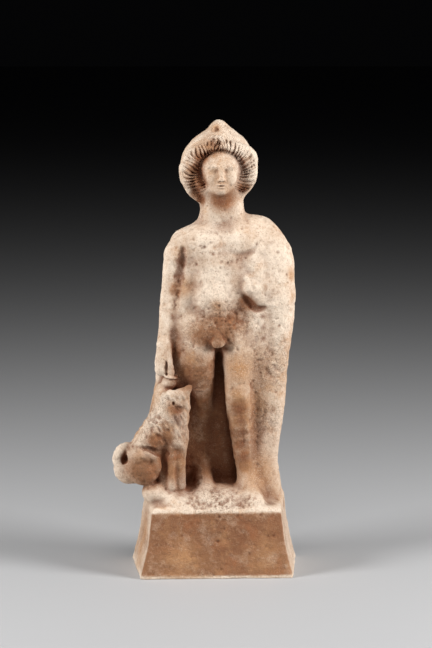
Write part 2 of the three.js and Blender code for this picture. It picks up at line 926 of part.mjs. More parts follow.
// Hollows that later strokes have covered over are filled: only what the open air reaches stays empty
function closeHollows(values, count) {
  const reached = new Uint8Array(values.length);
  const queue = [0];
  for (let n = 0; n < queue.length; n++)
    for (const step of [1, count[0], count[0] * count[1]])
      for (const next of [queue[n] - step, queue[n] + step])
        if (values[next] >= 0 && !reached[next]) {
          reached[next] = 1;
          queue.push(next);
        }
  values.forEach((value, n) => {
    if (value >= 0 && !reached[n]) values[n] = -0.4 * GRID_STEP;
  });
}

// One vertex in each grid cell that the surface crosses, and one square round each crossed edge
function wrap({ values, count, index, at }) {
  const vertexOf = new Int32Array(values.length).fill(-1);
  const points = [];
  const faces = [];
  const steps = [[1, 0, 0], [0, 1, 0], [0, 0, 1]];
  const edges = [];
  for (const axis of [0, 1, 2]) {
    const [u, v] = [steps[(axis + 1) % 3], steps[(axis + 2) % 3]];
    for (const [a, b] of [[0, 0], [1, 0], [0, 1], [1, 1]])
      edges.push({ axis, from: u.map((step, i) => a * step + b * v[i]) });
  }
  for (let k = 0; k < count[2] - 1; k++)
    for (let j = 0; j < count[1] - 1; j++)
      for (let i = 0; i < count[0] - 1; i++) {
        const sum = [0, 0, 0];
        let crossings = 0;
        for (const { axis, from } of edges) {
          const start = [i + from[0], j + from[1], k + from[2]];
          const end = start.map((n, a) => n + steps[axis][a]);
          const [f, g] = [values[index(...start)], values[index(...end)]];
          if (f < 0 === g < 0) continue;
          start.forEach((n, a) => (sum[a] += at(a, n + (a === axis ? f / (f - g) : 0))));
          crossings++;
        }
        if (!crossings) continue;
        vertexOf[index(i, j, k)] = points.length / 3;
        const [x, y, z] = sum.map((s) => s / crossings);
        points.push(x, y, z < FLAT ? 0 : z);
      }
  for (let k = 1; k < count[2] - 1; k++)
    for (let j = 1; j < count[1] - 1; j++)
      for (let i = 1; i < count[0] - 1; i++)
        for (const axis of [0, 1, 2]) {
          const f = values[index(i, j, k)];
          const g = values[index(i + steps[axis][0], j + steps[axis][1], k + steps[axis][2])];
          if (f < 0 === g < 0) continue;
          const [u, v] = [steps[(axis + 1) % 3], steps[(axis + 2) % 3]];
          const corner = (a, b) =>
            vertexOf[index(i - a * u[0] - b * v[0], j - a * u[1] - b * v[1], k - a * u[2] - b * v[2])];
          const ring = [corner(0, 0), corner(1, 0), corner(1, 1), corner(0, 1)];
          if (f >= 0) ring.reverse();
          faces.push([ring[0], ring[1], ring[2]], [ring[0], ring[2], ring[3]]);
        }
  return { points, faces };
}

// Thinning: the edge whose loss changes the shape least is folded into one point, again and again

function thin({ points, faces }, target) {
  const vertices = points.length / 3;
  const errors = Array.from({ length: vertices }, () => new Float64Array(10));
  const around = Array.from({ length: vertices }, () => new Set());
  const stamp = new Uint32Array(vertices);
  const spot = (v) => new THREE.Vector3(points[3 * v], points[3 * v + 1], points[3 * v + 2]);
  const normalOf = (a, b, c) => b.clone().sub(a).cross(c.clone().sub(a));

  faces.forEach((face, f) => {
    const [a, b, c] = face.map(spot);
    const normal = normalOf(a, b, c);
    const area = normal.length() / 2;
    normal.normalize();
    const offset = -normal.dot(a);
    const weight = area * (a.z > HEAD_FOOT ? HEAD_CARE : Math.max(a.z, b.z, c.z) > 0 ? 1 : FLAT_CARE);
    const plane = [normal.x, normal.y, normal.z, offset];
    for (const v of face) {
      around[v].add(f);
      let n = 0;
      for (let i = 0; i < 4; i++) for (let j = i; j < 4; j++) errors[v][n++] += weight * plane[i] * plane[j];
    }
  });

  const costAt = (q, { x, y, z }) =>
    q[0] * x * x + 2 * q[1] * x * y + 2 * q[2] * x * z + 2 * q[3] * x + q[4] * y * y +
    2 * q[5] * y * z + 2 * q[6] * y + q[7] * z * z + 2 * q[8] * z + q[9];

  // The point of least error for a joined pair, or the best of its ends and middle where that is unclear
  const bestSpot = (q, a, b) => {
    const matrix = new THREE.Matrix3().set(q[0], q[1], q[2], q[1], q[4], q[5], q[2], q[5], q[7]);
    const scale = q[0] + q[4] + q[7];
    const choices = [a, b, a.clone().lerp(b, 0.5)];
    if (matrix.determinant() > 1e-3 * scale ** 3) {
      const solved = new THREE.Vector3(-q[3], -q[6], -q[8]).applyMatrix3(matrix.invert());
      if (solved.distanceTo(choices[2]) < 2 * a.distanceTo(b)) choices.push(solved);
    }
    return choices.reduce((best, next) => (costAt(q, next) < costAt(q, best) ? next : best));
  };

  const heap = [];
  const swap = (i, j) => ([heap[i], heap[j]] = [heap[j], heap[i]]);
  const pushHeap = (entry) => {
    heap.push(entry);
    for (let i = heap.length - 1; i > 0; ) {
      const parent = (i - 1) >> 1;
      if (heap[parent].cost <= heap[i].cost) return;
      swap(i, parent);
      i = parent;
    }
  };
  const popHeap = () => {
    swap(0, heap.length - 1);
    const top = heap.pop();
    for (let i = 0; ; ) {
      let least = i;
      for (const child of [2 * i + 1, 2 * i + 2])
        if (child < heap.length && heap[child].cost < heap[least].cost) least = child;
      if (least === i) return top;
      swap(i, least);
      i = least;
    }
  };
  const offer = (a, b) => {
    const q = errors[a].map((value, i) => value + errors[b][i]);
    const [p, r] = [spot(a), spot(b)];
    const place = bestSpot(q, p, r);
    const cost = Math.max(costAt(q, place), 0) + 1e-5 * p.distanceToSquared(r);
    pushHeap({ cost, a, b, place, q, stamps: stamp[a] + stamp[b] });
  };
  const neighbours = (v) => new Set([...around[v]].flatMap((f) => faces[f]).filter((w) => w !== v));
  const longest = (corners) => Math.max(...corners.map((p, i) => p.distanceToSquared(corners[(i + 1) % 3])));
  // Whether moving a point would turn one of its faces over or make a needle of it
  const folds = (v, gone, place) =>
    [...around[v]].some((f) => {
      if (faces[f].includes(gone)) return false;
      const before = faces[f].map(spot);
      const after = faces[f].map((w, i) => (w === v ? place : before[i]));
      const [m, n] = [normalOf(...before), normalOf(...after)];
      const [was, is] = [m.length() / longest(before), n.length() / longest(after)];
      return (is < 0.08 && is <= was) || (was > 0.01 && m.dot(n) < 0.35 * m.length() * n.length());
    });

  faces.forEach((face) => face.forEach((a, i) => a < face[(i + 1) % 3] && offer(a, face[(i + 1) % 3])));
  let left = faces.length;
  while (left > target && heap.length) {
    const { a, b, place, q, stamps } = popHeap();
    if (stamps !== stamp[a] + stamp[b] || !around[a].size || !around[b].size) continue;
    const ring = neighbours(a);
    if (!ring.has(b)) continue;
    const shared = [...neighbours(b)].filter((v) => ring.has(v));
    if (shared.length !== 2 || folds(a, b, place) || folds(b, a, place)) continue;
    for (const f of [...around[b]]) {
      if (faces[f].includes(a)) {
        faces[f].forEach((v) => around[v].delete(f));
        faces[f] = null;
        left--;
      } else {
        faces[f] = faces[f].map((v) => (v === b ? a : v));
        around[a].add(f);
      }
    }
    around[b].clear();
    points.splice(3 * a, 3, place.x, place.y, place.z);
    errors[a] = q;
    stamp[a]++;
    for (const v of neighbours(a)) offer(Math.min(a, v), Math.max(a, v));
  }
  return { points, faces: faces.filter(Boolean) };
}

function geometryOf({ points, faces }) {
  const flat = points.map((value, i) => (i % 3 === 2 && value < FLAT / 4 ? 0 : value));
  const geometry = new THREE.BufferGeometry();
  geometry.setAttribute("position", new THREE.Float32BufferAttribute(flat, 3));
  geometry.setIndex(faces.flat());
  geometry.computeVertexNormals();
  return geometry;
}

const started = wrap(fill());
const material = new THREE.MeshStandardMaterial(TERRACOTTA);
const statuette = new THREE.Mesh(geometryOf(thin(started, FACES)), material);
statuette.name = "statuette";
const model = new THREE.Group();
model.add(statuette);

export default model;
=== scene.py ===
# A terracotta statuette of a standing youth with a seated dog, in worn and slipped clay.
# The figure is made of the same strokes of clay as the CAD solid, with carving, wear and colour added.
# A stroke is a rounded solid that is blended into, or carved out of, the ones before it.
# The clay is meshed on a grid that is finer round the head, and the mesh takes the solid's place.
# The recipe is in millimetres, in the CAD's frame, and the finished objects are in metres.
import math
import bpy
import numpy as np
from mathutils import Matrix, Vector


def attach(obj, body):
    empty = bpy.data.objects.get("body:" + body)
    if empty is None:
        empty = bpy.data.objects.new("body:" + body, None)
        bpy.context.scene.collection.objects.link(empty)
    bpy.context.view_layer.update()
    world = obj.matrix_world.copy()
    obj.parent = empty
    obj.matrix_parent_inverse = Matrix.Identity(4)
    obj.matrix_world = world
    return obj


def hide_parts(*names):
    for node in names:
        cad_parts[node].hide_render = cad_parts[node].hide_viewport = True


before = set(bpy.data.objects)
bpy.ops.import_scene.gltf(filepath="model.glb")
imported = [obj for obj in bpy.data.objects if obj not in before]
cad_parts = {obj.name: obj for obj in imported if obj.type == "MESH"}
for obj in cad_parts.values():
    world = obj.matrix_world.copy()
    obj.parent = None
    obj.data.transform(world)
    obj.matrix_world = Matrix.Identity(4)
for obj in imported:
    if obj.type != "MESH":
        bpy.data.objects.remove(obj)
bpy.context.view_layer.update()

# Driving dimensions
BODY_STEP = 0.72  # spacing of the grid that the clay is meshed on
HEAD_STEP = 0.46  # spacing of the grid round the head
HEAD_BOX = ((-22, 26), (-22, 26), (230, 284))  # where the grid is finer, in x, y and z
TRIANGLES = 190000  # triangles left in the finished mesh
MM = 0.001
FAR = 20  # distance that stands for open space on the grid

PLINTH = dict(
    height=44,
    front=-28,  # y of the front face at the foot
    back=27,
    frontLean=4.5,  # how far the front face leans back over the height
    backLean=1.5,
    frontHalfWidth=47,  # at the foot of the front face
    spread=0.105,  # how much wider it grows for each millimetre towards the back
    taper=0.185,  # how much narrower it grows for each millimetre up
    hollow=1.3,  # how far its sides curve in at half height
    topSlope=0.05,  # the top falls a little towards the front
    corner=2.4,  # softness of its upright edges
    rim=2.8,  # softness of the edges round its top
    blend=2.5,
)

# Rounded masses have a centre, three half-sizes and the width over which they blend into the clay.
# Limbs, folds and the roll of hair are tubes along a curve: each point is (x, y, z, radius).

HEAD = dict(
    cranium=dict(at=(1.8, 4.6, 251.5), radii=(23, 16.4, 21.6), blend=3),
    nape=dict(at=(1.4, 8.4, 236.4), radii=(17.4, 10.4, 9.6), blend=3),
)
CAP = dict(
    crown=dict(at=(2.2, 3, 261), radii=(18.2, 14.5, 13.4), blend=2),
    slope=dict(at=(2.6, 2, 269), radii=(9.6, 8.6, 7.4), blend=3),
    tip=dict(at=(2.4, 1.6, 273.2), radii=(6, 5.4, 6.8), blend=3),
    knotLeft=dict(at=(-1.6, -8.6, 267.4), radii=(4, 3.8, 3.4), blend=1),
    knotRight=dict(at=(2, -8.6, 268), radii=(3.4, 3.4, 3), blend=1),
)
CAP_CHIP = dict(at=(0.3, -4.8, 275), radii=(1.7, 2, 2.5), blend=0.5)
FACE_HOLLOW = dict(at=(2, -14.4, 248.4), radii=(16, 14, 14), blend=2.4)

# The roll of hair round the face, open below, is cut across into locks
ROLL = dict(
    path=[
        (-10.4, 0, 231.8, 2), (-14.4, -0.8, 235.8, 2.6), (-17.4, -3.4, 243, 4),
        (-17.6, -5, 251, 4.7), (-14.2, -6.4, 258.2, 4.8), (-7.4, -8.4, 261.6, 4.2),
        (2.4, -9.2, 262.6, 3.8), (13, -8.4, 262, 4.4), (19.9, -6.6, 258.2, 5.1),
        (21, -5, 251.2, 4.7), (20.8, -3.4, 244.6, 4.2), (19, -1, 239.4, 3.4),
        (16.6, 1, 235.2, 2.6),
    ],
    blend=2.2,
)

# The locks are cut between two ellipses round the face, on the front of the head
COMB = dict(
    middle=2.4,  # x
    height=249.4,
    inner=11.6,
    outer=(23, 19.4),
    locks=50,
    twist=0.3,  # how far the cuts lean, in radians
    depth=1.7,
    behind=2,  # y
)

# The face follows the rule of thirds between the hairline and the chin, and is nobody's
FACE = dict(
    middle=3.2,  # x
    front=-14.6,  # y of the brow
    hairline=260,
    chin=234.8,
    halfWidth=12.3,
)

NECK = dict(
    column=dict(at=(4.2, 4, 225), radii=(13.6, 11, 17), blend=4),
    root=dict(at=(6, 6, 215.6), radii=(17.6, 10, 8), blend=5),
    rightSlope=dict(at=(-7, 7, 209), radii=(14, 9.5, 5.6), blend=5),
    leftSlope=dict(at=(20, 7, 213.4), radii=(15, 10, 7.4), blend=4),
)

TORSO = dict(
    ribs=dict(at=(3.6, 4, 191), radii=(20.2, 15, 25), blend=4),
    shoulderLine=dict(at=(4, 6, 206.5), radii=(27, 12, 10.5), blend=5),
    waist=dict(at=(2, 5, 173), radii=(18, 14.8, 18), blend=6),
    belly=dict(at=(0.2, -0.5, 170.5), radii=(13.5, 12, 10.5), blend=5),
    hips=dict(at=(-0.8, 4.5, 154), radii=(21.6, 15.4, 14.5), blend=6),
    groin=dict(at=(0.6, -3, 149), radii=(9.5, 8.5, 7.5), blend=4),
    rightBreast=dict(at=(-6.6, -2.4, 205), radii=(14, 6.4, 9), blend=7),
    leftBreast=dict(at=(14.6, -2.9, 206.6), radii=(13, 8, 8.6), blend=5),
    besideArm=dict(at=(-19.6, 3.4, 174), radii=(8, 7.8, 34), blend=6),
    besideWrist=dict(at=(-23, 4.6, 142), radii=(7, 6.4, 26), blend=4),
    besideCloak=dict(at=(20, 1, 182), radii=(10, 10.4, 29), blend=6),
    underCloak=dict(at=(33, 0.6, 174), radii=(13.6, 10, 42), blend=6),
    besideHip=dict(at=(22, 1, 146), radii=(8, 9.4, 30), blend=5),
    besideHand=dict(at=(-22.5, 2, 128), radii=(7, 7.4, 20), blend=5),
)
LOINS = dict(
    scrotum=dict(at=(1.2, -11.4, 144.4), radii=(4.7, 4.7, 3.7), blend=1.2),
    member=dict(at=(1.2, -13.2, 147), radii=(2.4, 3.1, 3.6), blend=1),
)

CROTCH_HOLLOW = dict(at=(1.6, -10.2, 140), radii=(5.2, 4, 2), blend=1.4)

# The ground that the feet and paws stand on swells up towards the cloak
GROUND = dict(
    swell=dict(at=(1, 2.6, 41), radii=(38, 23, 12.6), blend=4),
    underDog=dict(at=(-24, -3, 42), radii=(17, 18, 8), blend=4),
)
LEGS = dict(
    left=dict(
        path=[
            (11, 1.5, 151, 11.6), (13, -1.4, 138, 9.8), (13.6, -2.2, 126, 9), (14, -2.6, 113, 8.4),
            (14.6, -2, 104, 8), (15.6, -1, 92, 7.4), (16.8, 0.2, 80, 6.8), (18.2, 0.6, 68, 6),
            (19.8, -0.2, 56, 5.4),
        ],
        blend=4,
    ),
    leftFoot=dict(
        path=[(20, -2, 54, 5), (22.6, -9, 49.4, 4.8), (24.6, -15.6, 45, 4.2)],
        blend=6,
    ),
    right=dict(
        path=[
            (-11, 1.5, 149, 12), (-10.8, -1.6, 136, 10.8), (-9.6, -0.4, 124, 9.4),
            (-8, 4.6, 111, 7.2), (-7.6, 10.2, 97, 6), (-7.4, 12.6, 82, 5.4), (-7.2, 12, 70, 5.2),
            (-7, 7.6, 58, 5),
        ],
        blend=5,
    ),
    rightFoot=dict(
        path=[(-7, 3, 55, 5), (-7.2, -5, 51, 5), (-7.6, -13.6, 46, 4.4)],
        blend=4,
    ),
)
CROTCH = dict(
    path=[
        (1.4, -5, 141, 1.5), (1.6, -2, 132, 1.6), (2.2, 2, 118, 2.6), (2.4, 2.4, 104, 3),
        (2.4, 2, 92, 3),
    ],
    blend=1.6,
)

RIGHT_ARM = dict(
    web=dict(
        path=[
            (-23.2, 3.4, 188, 4.4), (-24.4, 2.6, 172, 4.8), (-25, 2, 158, 4.8),
            (-25.6, 1.8, 146, 4.6),
        ],
        blend=2.5,
    ),
    shoulder=dict(
        path=[(-20, 4, 202.6, 8.6), (-23.8, 2.6, 196.6, 7.4)],
        blend=4,
    ),
    arm=dict(
        path=[
            (-24.4, 2.4, 198, 6.6), (-26.4, 2, 190, 5.9), (-27.8, 1.6, 180, 5),
            (-29.2, 1.2, 168, 4.9), (-30.2, 0, 156, 4.8), (-31.6, -2, 144, 4.4),
        ],
        blend=2.5,
    ),
    hand=dict(
        path=[(-31.6, -3, 141, 4.9), (-33, -4.4, 133, 4.5), (-33.4, -5, 126.5, 4)],
        blend=2,
    ),
    thumb=dict(
        path=[(-29.4, -5.2, 140, 2.6), (-28.4, -7.4, 132, 2.3), (-27.6, -7.8, 125, 2.2)],
        blend=1,
    ),
)
GRIP = dict(
    front=dict(
        path=[(-30.3, -8.8, 132.6, 0.6), (-30.3, -8.6, 129.6, 0.8), (-30.2, -8.4, 126.4, 0.7)],
        blend=0.5,
    ),
    depth=dict(
        path=[(-30.3, -7.6, 132, 0.5), (-30.3, -7.4, 129.6, 0.7), (-30.2, -7.2, 127, 0.6)],
        blend=0.4,
    ),
)
# The small oil flask in the right hand: a flat lip over a round body
FLASK = dict(
    body=dict(at=(-28.6, -3.8, 118.6), radii=(4.5, 4.7, 4.5), blend=1),
    lip=dict(at=(-27.7, -6.8, 122.4), radii=(4.5, 4.4, 1.3), blend=0.5, lean=10),
)

# The cloak hangs behind the whole figure as one thick sheet, seen here as its outline from the front
CLOAK = dict(
    front=9.5,
    back=23,
    rounding=6.5,
    blend=4,
    leftEdge=[
        (-40, 36), (-40.5, 70), (-40.3, 98), (-37.2, 114), (-34, 150), (-30, 185), (-26, 200),
        (-18, 209), (-8, 215),
    ],
    rightEdge=[
        (16, 220), (26, 220), (34, 217.4), (39.4, 212.4), (43.6, 206), (46.4, 198), (48.6, 186),
        (49.5, 174), (50, 160), (48.8, 147), (46, 130), (45, 114), (42.6, 92), (39, 76),
        (37.6, 65), (41.4, 55), (43, 36),
    ],
)
# Soft swells down the cloak's back
CLOAK_BACK = dict(
    left=dict(at=(30, 15.8, 122), radii=(11, 9.8, 84), blend=5),
    middle=dict(at=(7, 16.2, 118), radii=(11.5, 9.8, 88), blend=5),
    right=dict(at=(-17, 15.8, 112), radii=(11.5, 9.6, 78), blend=5),
)
# The left arm bends under the cloak, and its fist gathers the cloth at the waist
LEFT_ARM = dict(
    upper=dict(
        path=[
            (26, 5, 208, 10.6), (35.8, 3.8, 197, 11.2), (38.2, 2.2, 184, 10.2),
            (38.2, 1.6, 172, 9.6),
        ],
        blend=6,
    ),
    fore=dict(
        path=[(38, 2, 172, 9), (32, 0, 174, 8), (27, -1.4, 177, 7)],
        blend=6,
    ),
)
FIST = dict(
    back=dict(
        path=[(20.6, -6.8, 181.6, 5), (23.6, -7.4, 177, 5.6), (27, -6.2, 171.8, 5)],
        blend=2.6,
    ),
    knuckles=dict(
        path=[(18.8, -8, 183, 3), (20.2, -8.8, 177.6, 3.4)],
        blend=2,
    ),
)
FIST_HOLLOW = dict(at=(23, -13.6, 178), radii=(1.2, 1.5, 1.7), blend=1)

# The cloak's raised folds, and then the grooves cut into the figure and the cloak
FOLDS = dict(
    outer=dict(
        path=[
            (38.4, 1, 168, 9), (38, 1.4, 150, 9), (36.4, 2.6, 126, 8.4), (34.8, 4, 100, 8),
            (31.8, 5, 72, 7.4), (32.8, 5, 50, 8),
        ],
        blend=5,
    ),
    middle=dict(
        path=[
            (30.6, 0.6, 164, 8.4), (30.2, 1.6, 140, 8.2), (28.6, 3.6, 112, 7.4),
            (27.4, 5, 84, 6.8), (29, 4.6, 52, 7.2),
        ],
        blend=4,
    ),
    inner=dict(
        path=[
            (25.4, -2.6, 163, 3.6), (25, -1.4, 150, 3.9), (24.4, -0.4, 134, 4.2),
            (22.8, 0.6, 114, 4.4), (20.8, 1.4, 98, 4.4), (20.8, 1.4, 80, 4.4),
            (22.4, 0.6, 63, 4.6), (26, -2, 48, 5),
        ],
        blend=2.6,
    ),
    behindArm=dict(
        path=[(-26, 8, 190, 5), (-28, 8, 150, 5.4), (-30.6, 7.4, 122, 6), (-33, 6.4, 100, 7)],
        blend=4,
    ),
    collar=dict(
        path=[(24.8, -4, 203, 4), (23.4, -5.4, 196, 4.2), (26, -6, 187, 4.6), (30, -5, 178, 4.6)],
        blend=4.5,
    ),
)
GROOVES = dict(
    besideArm=dict(
        path=[
            (-20, -5.6, 201, 0.8), (-21, -4.6, 194, 2.3), (-22, -4.2, 185, 1.9),
            (-23.6, -4, 173, 1.2), (-24.8, -4, 164, 0.4),
        ],
        blend=2.6,
    ),
    breast=dict(
        path=[
            (9, -11, 200.4, 0.5), (15.4, -10.2, 197.6, 1.5), (21.2, -10.4, 199.8, 1.4),
            (26, -9.8, 204.4, 0.5),
        ],
        blend=1.8,
    ),
    scar=dict(
        path=[
            (-15.6, -7, 200.4, 0.3), (-13.4, -8, 201.2, 0.5), (-11.6, -8.8, 203, 0.3),
            (-9.4, -9.4, 203.4, 0.6), (-7.2, -10, 205.6, 0.4),
        ],
        blend=0.6,
    ),
    trough=dict(
        path=[(32, -10.6, 162, 1.6), (32.6, -10, 151, 1.6), (33.2, -9, 138, 1.2)],
        blend=5,
    ),
    shin=dict(
        path=[
            (15, -11.6, 106, 1.6), (15.8, -10.2, 92, 1.9), (17, -8.6, 77, 1.9),
            (18.4, -7.2, 64, 1.3),
        ],
        blend=4,
    ),
    belowFist=dict(
        path=[
            (16.8, -11, 175, 1.6), (19.2, -9.6, 170.2, 2.9), (24.6, -9.2, 165.4, 3),
            (29.4, -9, 165.2, 1.6),
        ],
        blend=1.2,
    ),
)

DOG = dict(
    core=dict(
        path=[(-32, 3, 100, 7.6), (-38, 3, 82, 9), (-44, 2, 66, 9)],
        blend=4,
    ),
    back=dict(
        path=[
            (-28.6, -7, 103, 8), (-33, -6.6, 94, 9.8), (-39, -6.2, 84, 10.2),
            (-45.4, -5.6, 73, 10.4),
        ],
        blend=3,
    ),
    chest=dict(
        path=[(-24.6, -8, 104, 7.2), (-24.8, -8.6, 94, 7.5), (-24.8, -8.6, 84, 7.4)],
        blend=3,
    ),
    brisket=dict(
        path=[(-23.8, -6, 88, 6.4), (-24.4, -6, 70, 4.8), (-24.4, -6.6, 50, 4.8)],
        blend=3,
    ),
    throat=dict(
        path=[(-23.4, -9, 106, 5.8), (-22.8, -8.6, 98, 6)],
        blend=3,
    ),
    flank=dict(
        path=[(-32, -4.6, 86, 7.4), (-31, -4.8, 68, 6.4), (-30, -5.4, 48, 6.4)],
        blend=4,
    ),
    farForeleg=dict(
        path=[(-21, -8.4, 84, 3.4), (-21.4, -9, 70, 2.6), (-21.4, -9.6, 54, 2.7)],
        blend=2,
    ),
    nearForeleg=dict(
        path=[(-27, -10, 84, 4), (-27.6, -11, 72, 2.4), (-27.4, -11.6, 54, 2.5)],
        blend=2,
    ),
    farPaw=dict(
        path=[(-21.2, -10, 47.6, 3), (-20, -14.6, 45.8, 2.6)],
        blend=2.5,
    ),
    nearPaw=dict(
        path=[(-26.4, -13, 47.6, 3), (-25.4, -17.4, 45.6, 2.6)],
        blend=2.5,
    ),
    hindPaw=dict(
        path=[(-35.6, -12, 50, 3.8), (-30, -14.8, 47.2, 2.8)],
        blend=4,
    ),
    skull=dict(
        path=[(-28.4, -8.8, 108.2, 6), (-23.4, -9.6, 108.6, 5.6)],
        blend=2.4,
    ),
    brow=dict(
        path=[(-31.4, -11.6, 110.6, 2.6), (-27, -13, 112.4, 2.6), (-22, -13.4, 113, 2.8)],
        blend=2,
    ),
    muzzle=dict(
        path=[(-23, -11.6, 111, 4), (-19.4, -12, 113.4, 3.6), (-16.4, -12, 116.4, 2.2)],
        blend=1.6,
    ),
    jowl=dict(
        path=[(-18.6, -11, 110.4, 2.6), (-19, -10.6, 104, 3)],
        blend=2,
    ),
    ear=dict(
        path=[(-28.6, -12.6, 113.6, 1.9), (-31.6, -12.2, 109.4, 2.5), (-32.2, -11, 104.4, 1.7)],
        blend=0.9,
    ),
)
HAUNCH = dict(
    thigh=dict(at=(-44.8, -9.4, 66.2), radii=(10.2, 7.2, 11), blend=1.4),
    rump=dict(at=(-52.8, -3.4, 64.6), radii=(10.6, 7.4, 9.8), blend=2),
    footing=dict(at=(-38, -5, 50), radii=(8, 12, 7), blend=3),
    backing=dict(at=(-31, 3, 66), radii=(12, 9.5, 24), blend=2),
    ruff=dict(at=(-33.8, -2.4, 107), radii=(5, 7.6, 11), blend=2.5),
    tailRoot=dict(at=(-57.4, -1.4, 72.4), radii=(5, 4.4, 7.6), blend=2),
)
KNEE = dict(
    path=[
        (-48, -13.8, 74, 2.2), (-43, -14.6, 75, 2.6), (-38, -13.6, 73, 2.4), (-35.8, -12.6, 67, 2),
    ],
    blend=3.6,
)
TAIL = dict(
    path=[
        (-52, -3.6, 77.6, 3.4), (-57, -4.8, 77.4, 3.4), (-60.2, -5.4, 73.8, 3.4),
        (-60.6, -5.2, 69, 3.2), (-57.6, -5.4, 65, 3.4),
    ],
    blend=1,
)
TAIL_CURL = dict(at=(-56.2, -8.4, 71), radii=(1.8, 3.4, 3), blend=0.8, lean=25)
JAW_HOLLOW = dict(at=(-22.6, -17, 104), radii=(4.2, 3, 2.4), blend=2)
EYE = dict(at=(-26.2, -15.2, 107.4), radii=(1.1, 1.6, 1.1), blend=0.8)
DOG_GROOVES = dict(
    belly=dict(
        path=[
            (-47, -15.6, 79.8, 0.8), (-41, -15.4, 78.8, 1.7), (-35.6, -13.8, 76.4, 2.2),
            (-31, -12.4, 76.4, 1.6),
        ],
        blend=1.8,
    ),
    besideHaunch=dict(
        path=[(-32.4, -11.6, 74, 1.8), (-32.6, -11.2, 67, 1.8), (-32.2, -12, 59, 1.4)],
        blend=1.6,
    ),
    betweenLegs=dict(
        path=[(-24.6, -13.4, 78, 0.6), (-24.6, -13, 68, 0.9), (-24.4, -13.4, 56, 0.8)],
        blend=1.4,
    ),
)

# Spots of wear, stain, painted light and painted shade, each as (x, y, z, radius): where the surface is
# crusty, where the slip has gone and bare orange clay shows, where the slip is palest and painted light
# brightens the lit chest, shoulders, cloak and plinth top, and where the clay is stained brown and painted
# shade browns the hollows and the neck under the chin
CRUST = [
    (2, -12, 156, 16), (-12, -10, 148, 14), (14, -10, 158, 13), (-36, -10, 88, 20),
    (-30, -12, 104, 11), (30, -3, 96, 12), (36, -6, 130, 16), (-44, -12, 66, 13), (1, -11, 268, 6),
    (-12, -8, 122, 12), (4, 8, 84, 22), (0, -18, 46, 20),
]
BARE = [
    (0, -13, 166, 4), (14, -12, 128, 9), (13, -10, 112, 6), (-12, -6, 222, 6), (-50, 0, 20, 16),
    (-19, -4, 178, 6), (46, -4, 186, 4), (30, 20, 120, 22), (-50, -4, 92, 8), (-40, 0, 108, 9),
    (0, -4, 275, 3), (22, -4, 104, 9), (28, -4, 60, 12), (8, 4, 60, 9), (30, -22, 14, 10),
    (-20, -24, 10, 12),
]
PALE_SLIP_AND_PAINTED_LIGHT = [
    (4, -10, 208, 20), (-26, 0, 194, 9), (30, -8, 196, 16), (2, -12, 186, 13), (0, -22, 46, 22),
    (30, -22, 46, 14), (-30, -22, 46, 12), (-3, -12, 174, 12), (22, -12, 180, 7), (44, -4, 160, 7),
    (-34, -12, 98, 6), (36, -2, 64, 12), (34, -3, 84, 14), (8, -4, 222, 8),
]
BROWN_STAINS_AND_SHADE = [
    (-12, -10, 124, 13), (-14, 2, 100, 14), (2, 8, 82, 26), (2, 8, 110, 16), (-8, 6, 70, 16),
    (-29, -10, 70, 12), (-44, -12, 66, 11), (-31, -13, 86, 6), (-26, -14, 104, 4.4),
    (14.8, -9, 104, 6), (15.6, -8, 95, 5.5), (16.2, -6.6, 86, 5.5), (17, -5.4, 76, 5.5),
    (18.2, -4.7, 66, 5), (-9, -4, 84, 8), (-8, -2, 68, 7), (-2, -7, 130, 4), (-2.4, -4.3, 118, 5),
    (-3, 1.4, 106, 6), (0, -12, 151, 11), (-8, -10, 149, 7), (10, -10, 156, 6), (4, -6, 232, 7),
    (-12.5, -8, 250, 4), (-11, -7, 242, 5), (-10, -8, 235, 4), (-9, -10, 258, 4),
    (-2, -12, 263, 4), (17, -4.4, 239, 3.4), (-11.5, -2.8, 235, 3.6), (-9, -1.8, 231, 3),
    (-24, -2, 136, 6), (19, -8, 168, 5), (-24, -2.6, 176, 4), (-36, -16, 84, 6),
]
# Where painted shade darkens the deepest hollows and the shadows under the chin and the fist almost to
# black, along with some dark stains
DARK_SHADE_AND_STAINS = [
    (-17, -6, 56, 9), (3, 8, 62, 12), (-3, 6.4, 90, 5), (-3, 6.4, 76, 5), (3, 6, 120, 7),
    (2, 4, 136, 4), (-23.4, -16, 103, 4), (-24, -16, 98, 4), (28.6, -8.4, 160, 1.8),
    (29, -8, 153, 1.8), (29.4, -7.6, 146, 1.8), (-26.2, -3.6, 159, 2.2), (-26.5, -3.9, 151, 2.4),
    (-24, -1, 130, 4), (18.6, -7.8, 171, 2.6), (23, -6.7, 167, 3), (27, -7, 165.4, 2),
    (-21, -2.6, 193, 3.6), (-22.4, -2.6, 184, 3), (14.4, -8.8, 102, 4), (15.2, -8, 95, 3.6),
    (16, -6.9, 88, 3.4), (16.5, -5.9, 80, 3.2), (17.5, -5, 71, 3.4), (3.6, -6.5, 230.4, 3),
    (-9.4, -1.8, 232.4, 2.6), (-11, -4, 237.4, 2.6), (16.6, -3.2, 237, 2.2),
]
# Where the dog's coat is cut as short slanting strokes
COAT = [
    (-36, -12, 92, 14), (-28, -14, 100, 11), (-46, -8, 82, 8), (-24, -14, 90, 8),
]
# Where the tuft of hair over the brow and the ground under the feet are crumbly
CRUMBLY = [
    (0, -12, 267.6, 4.4), (-4, -12, 264, 3), (4, -18, 46, 9), (-12, -18, 46, 8), (20, -18, 46, 7),
    (-21.5, -3.4, 197, 4), (-22.5, -2.5, 190, 4), (-23.4, -2.4, 182, 4), (-24, -2.5, 174, 4),
    (-25, -2.7, 167, 3.5), (0, -10.4, 159, 9), (10, -9.4, 157, 8), (-6, -9.7, 160, 5),
]
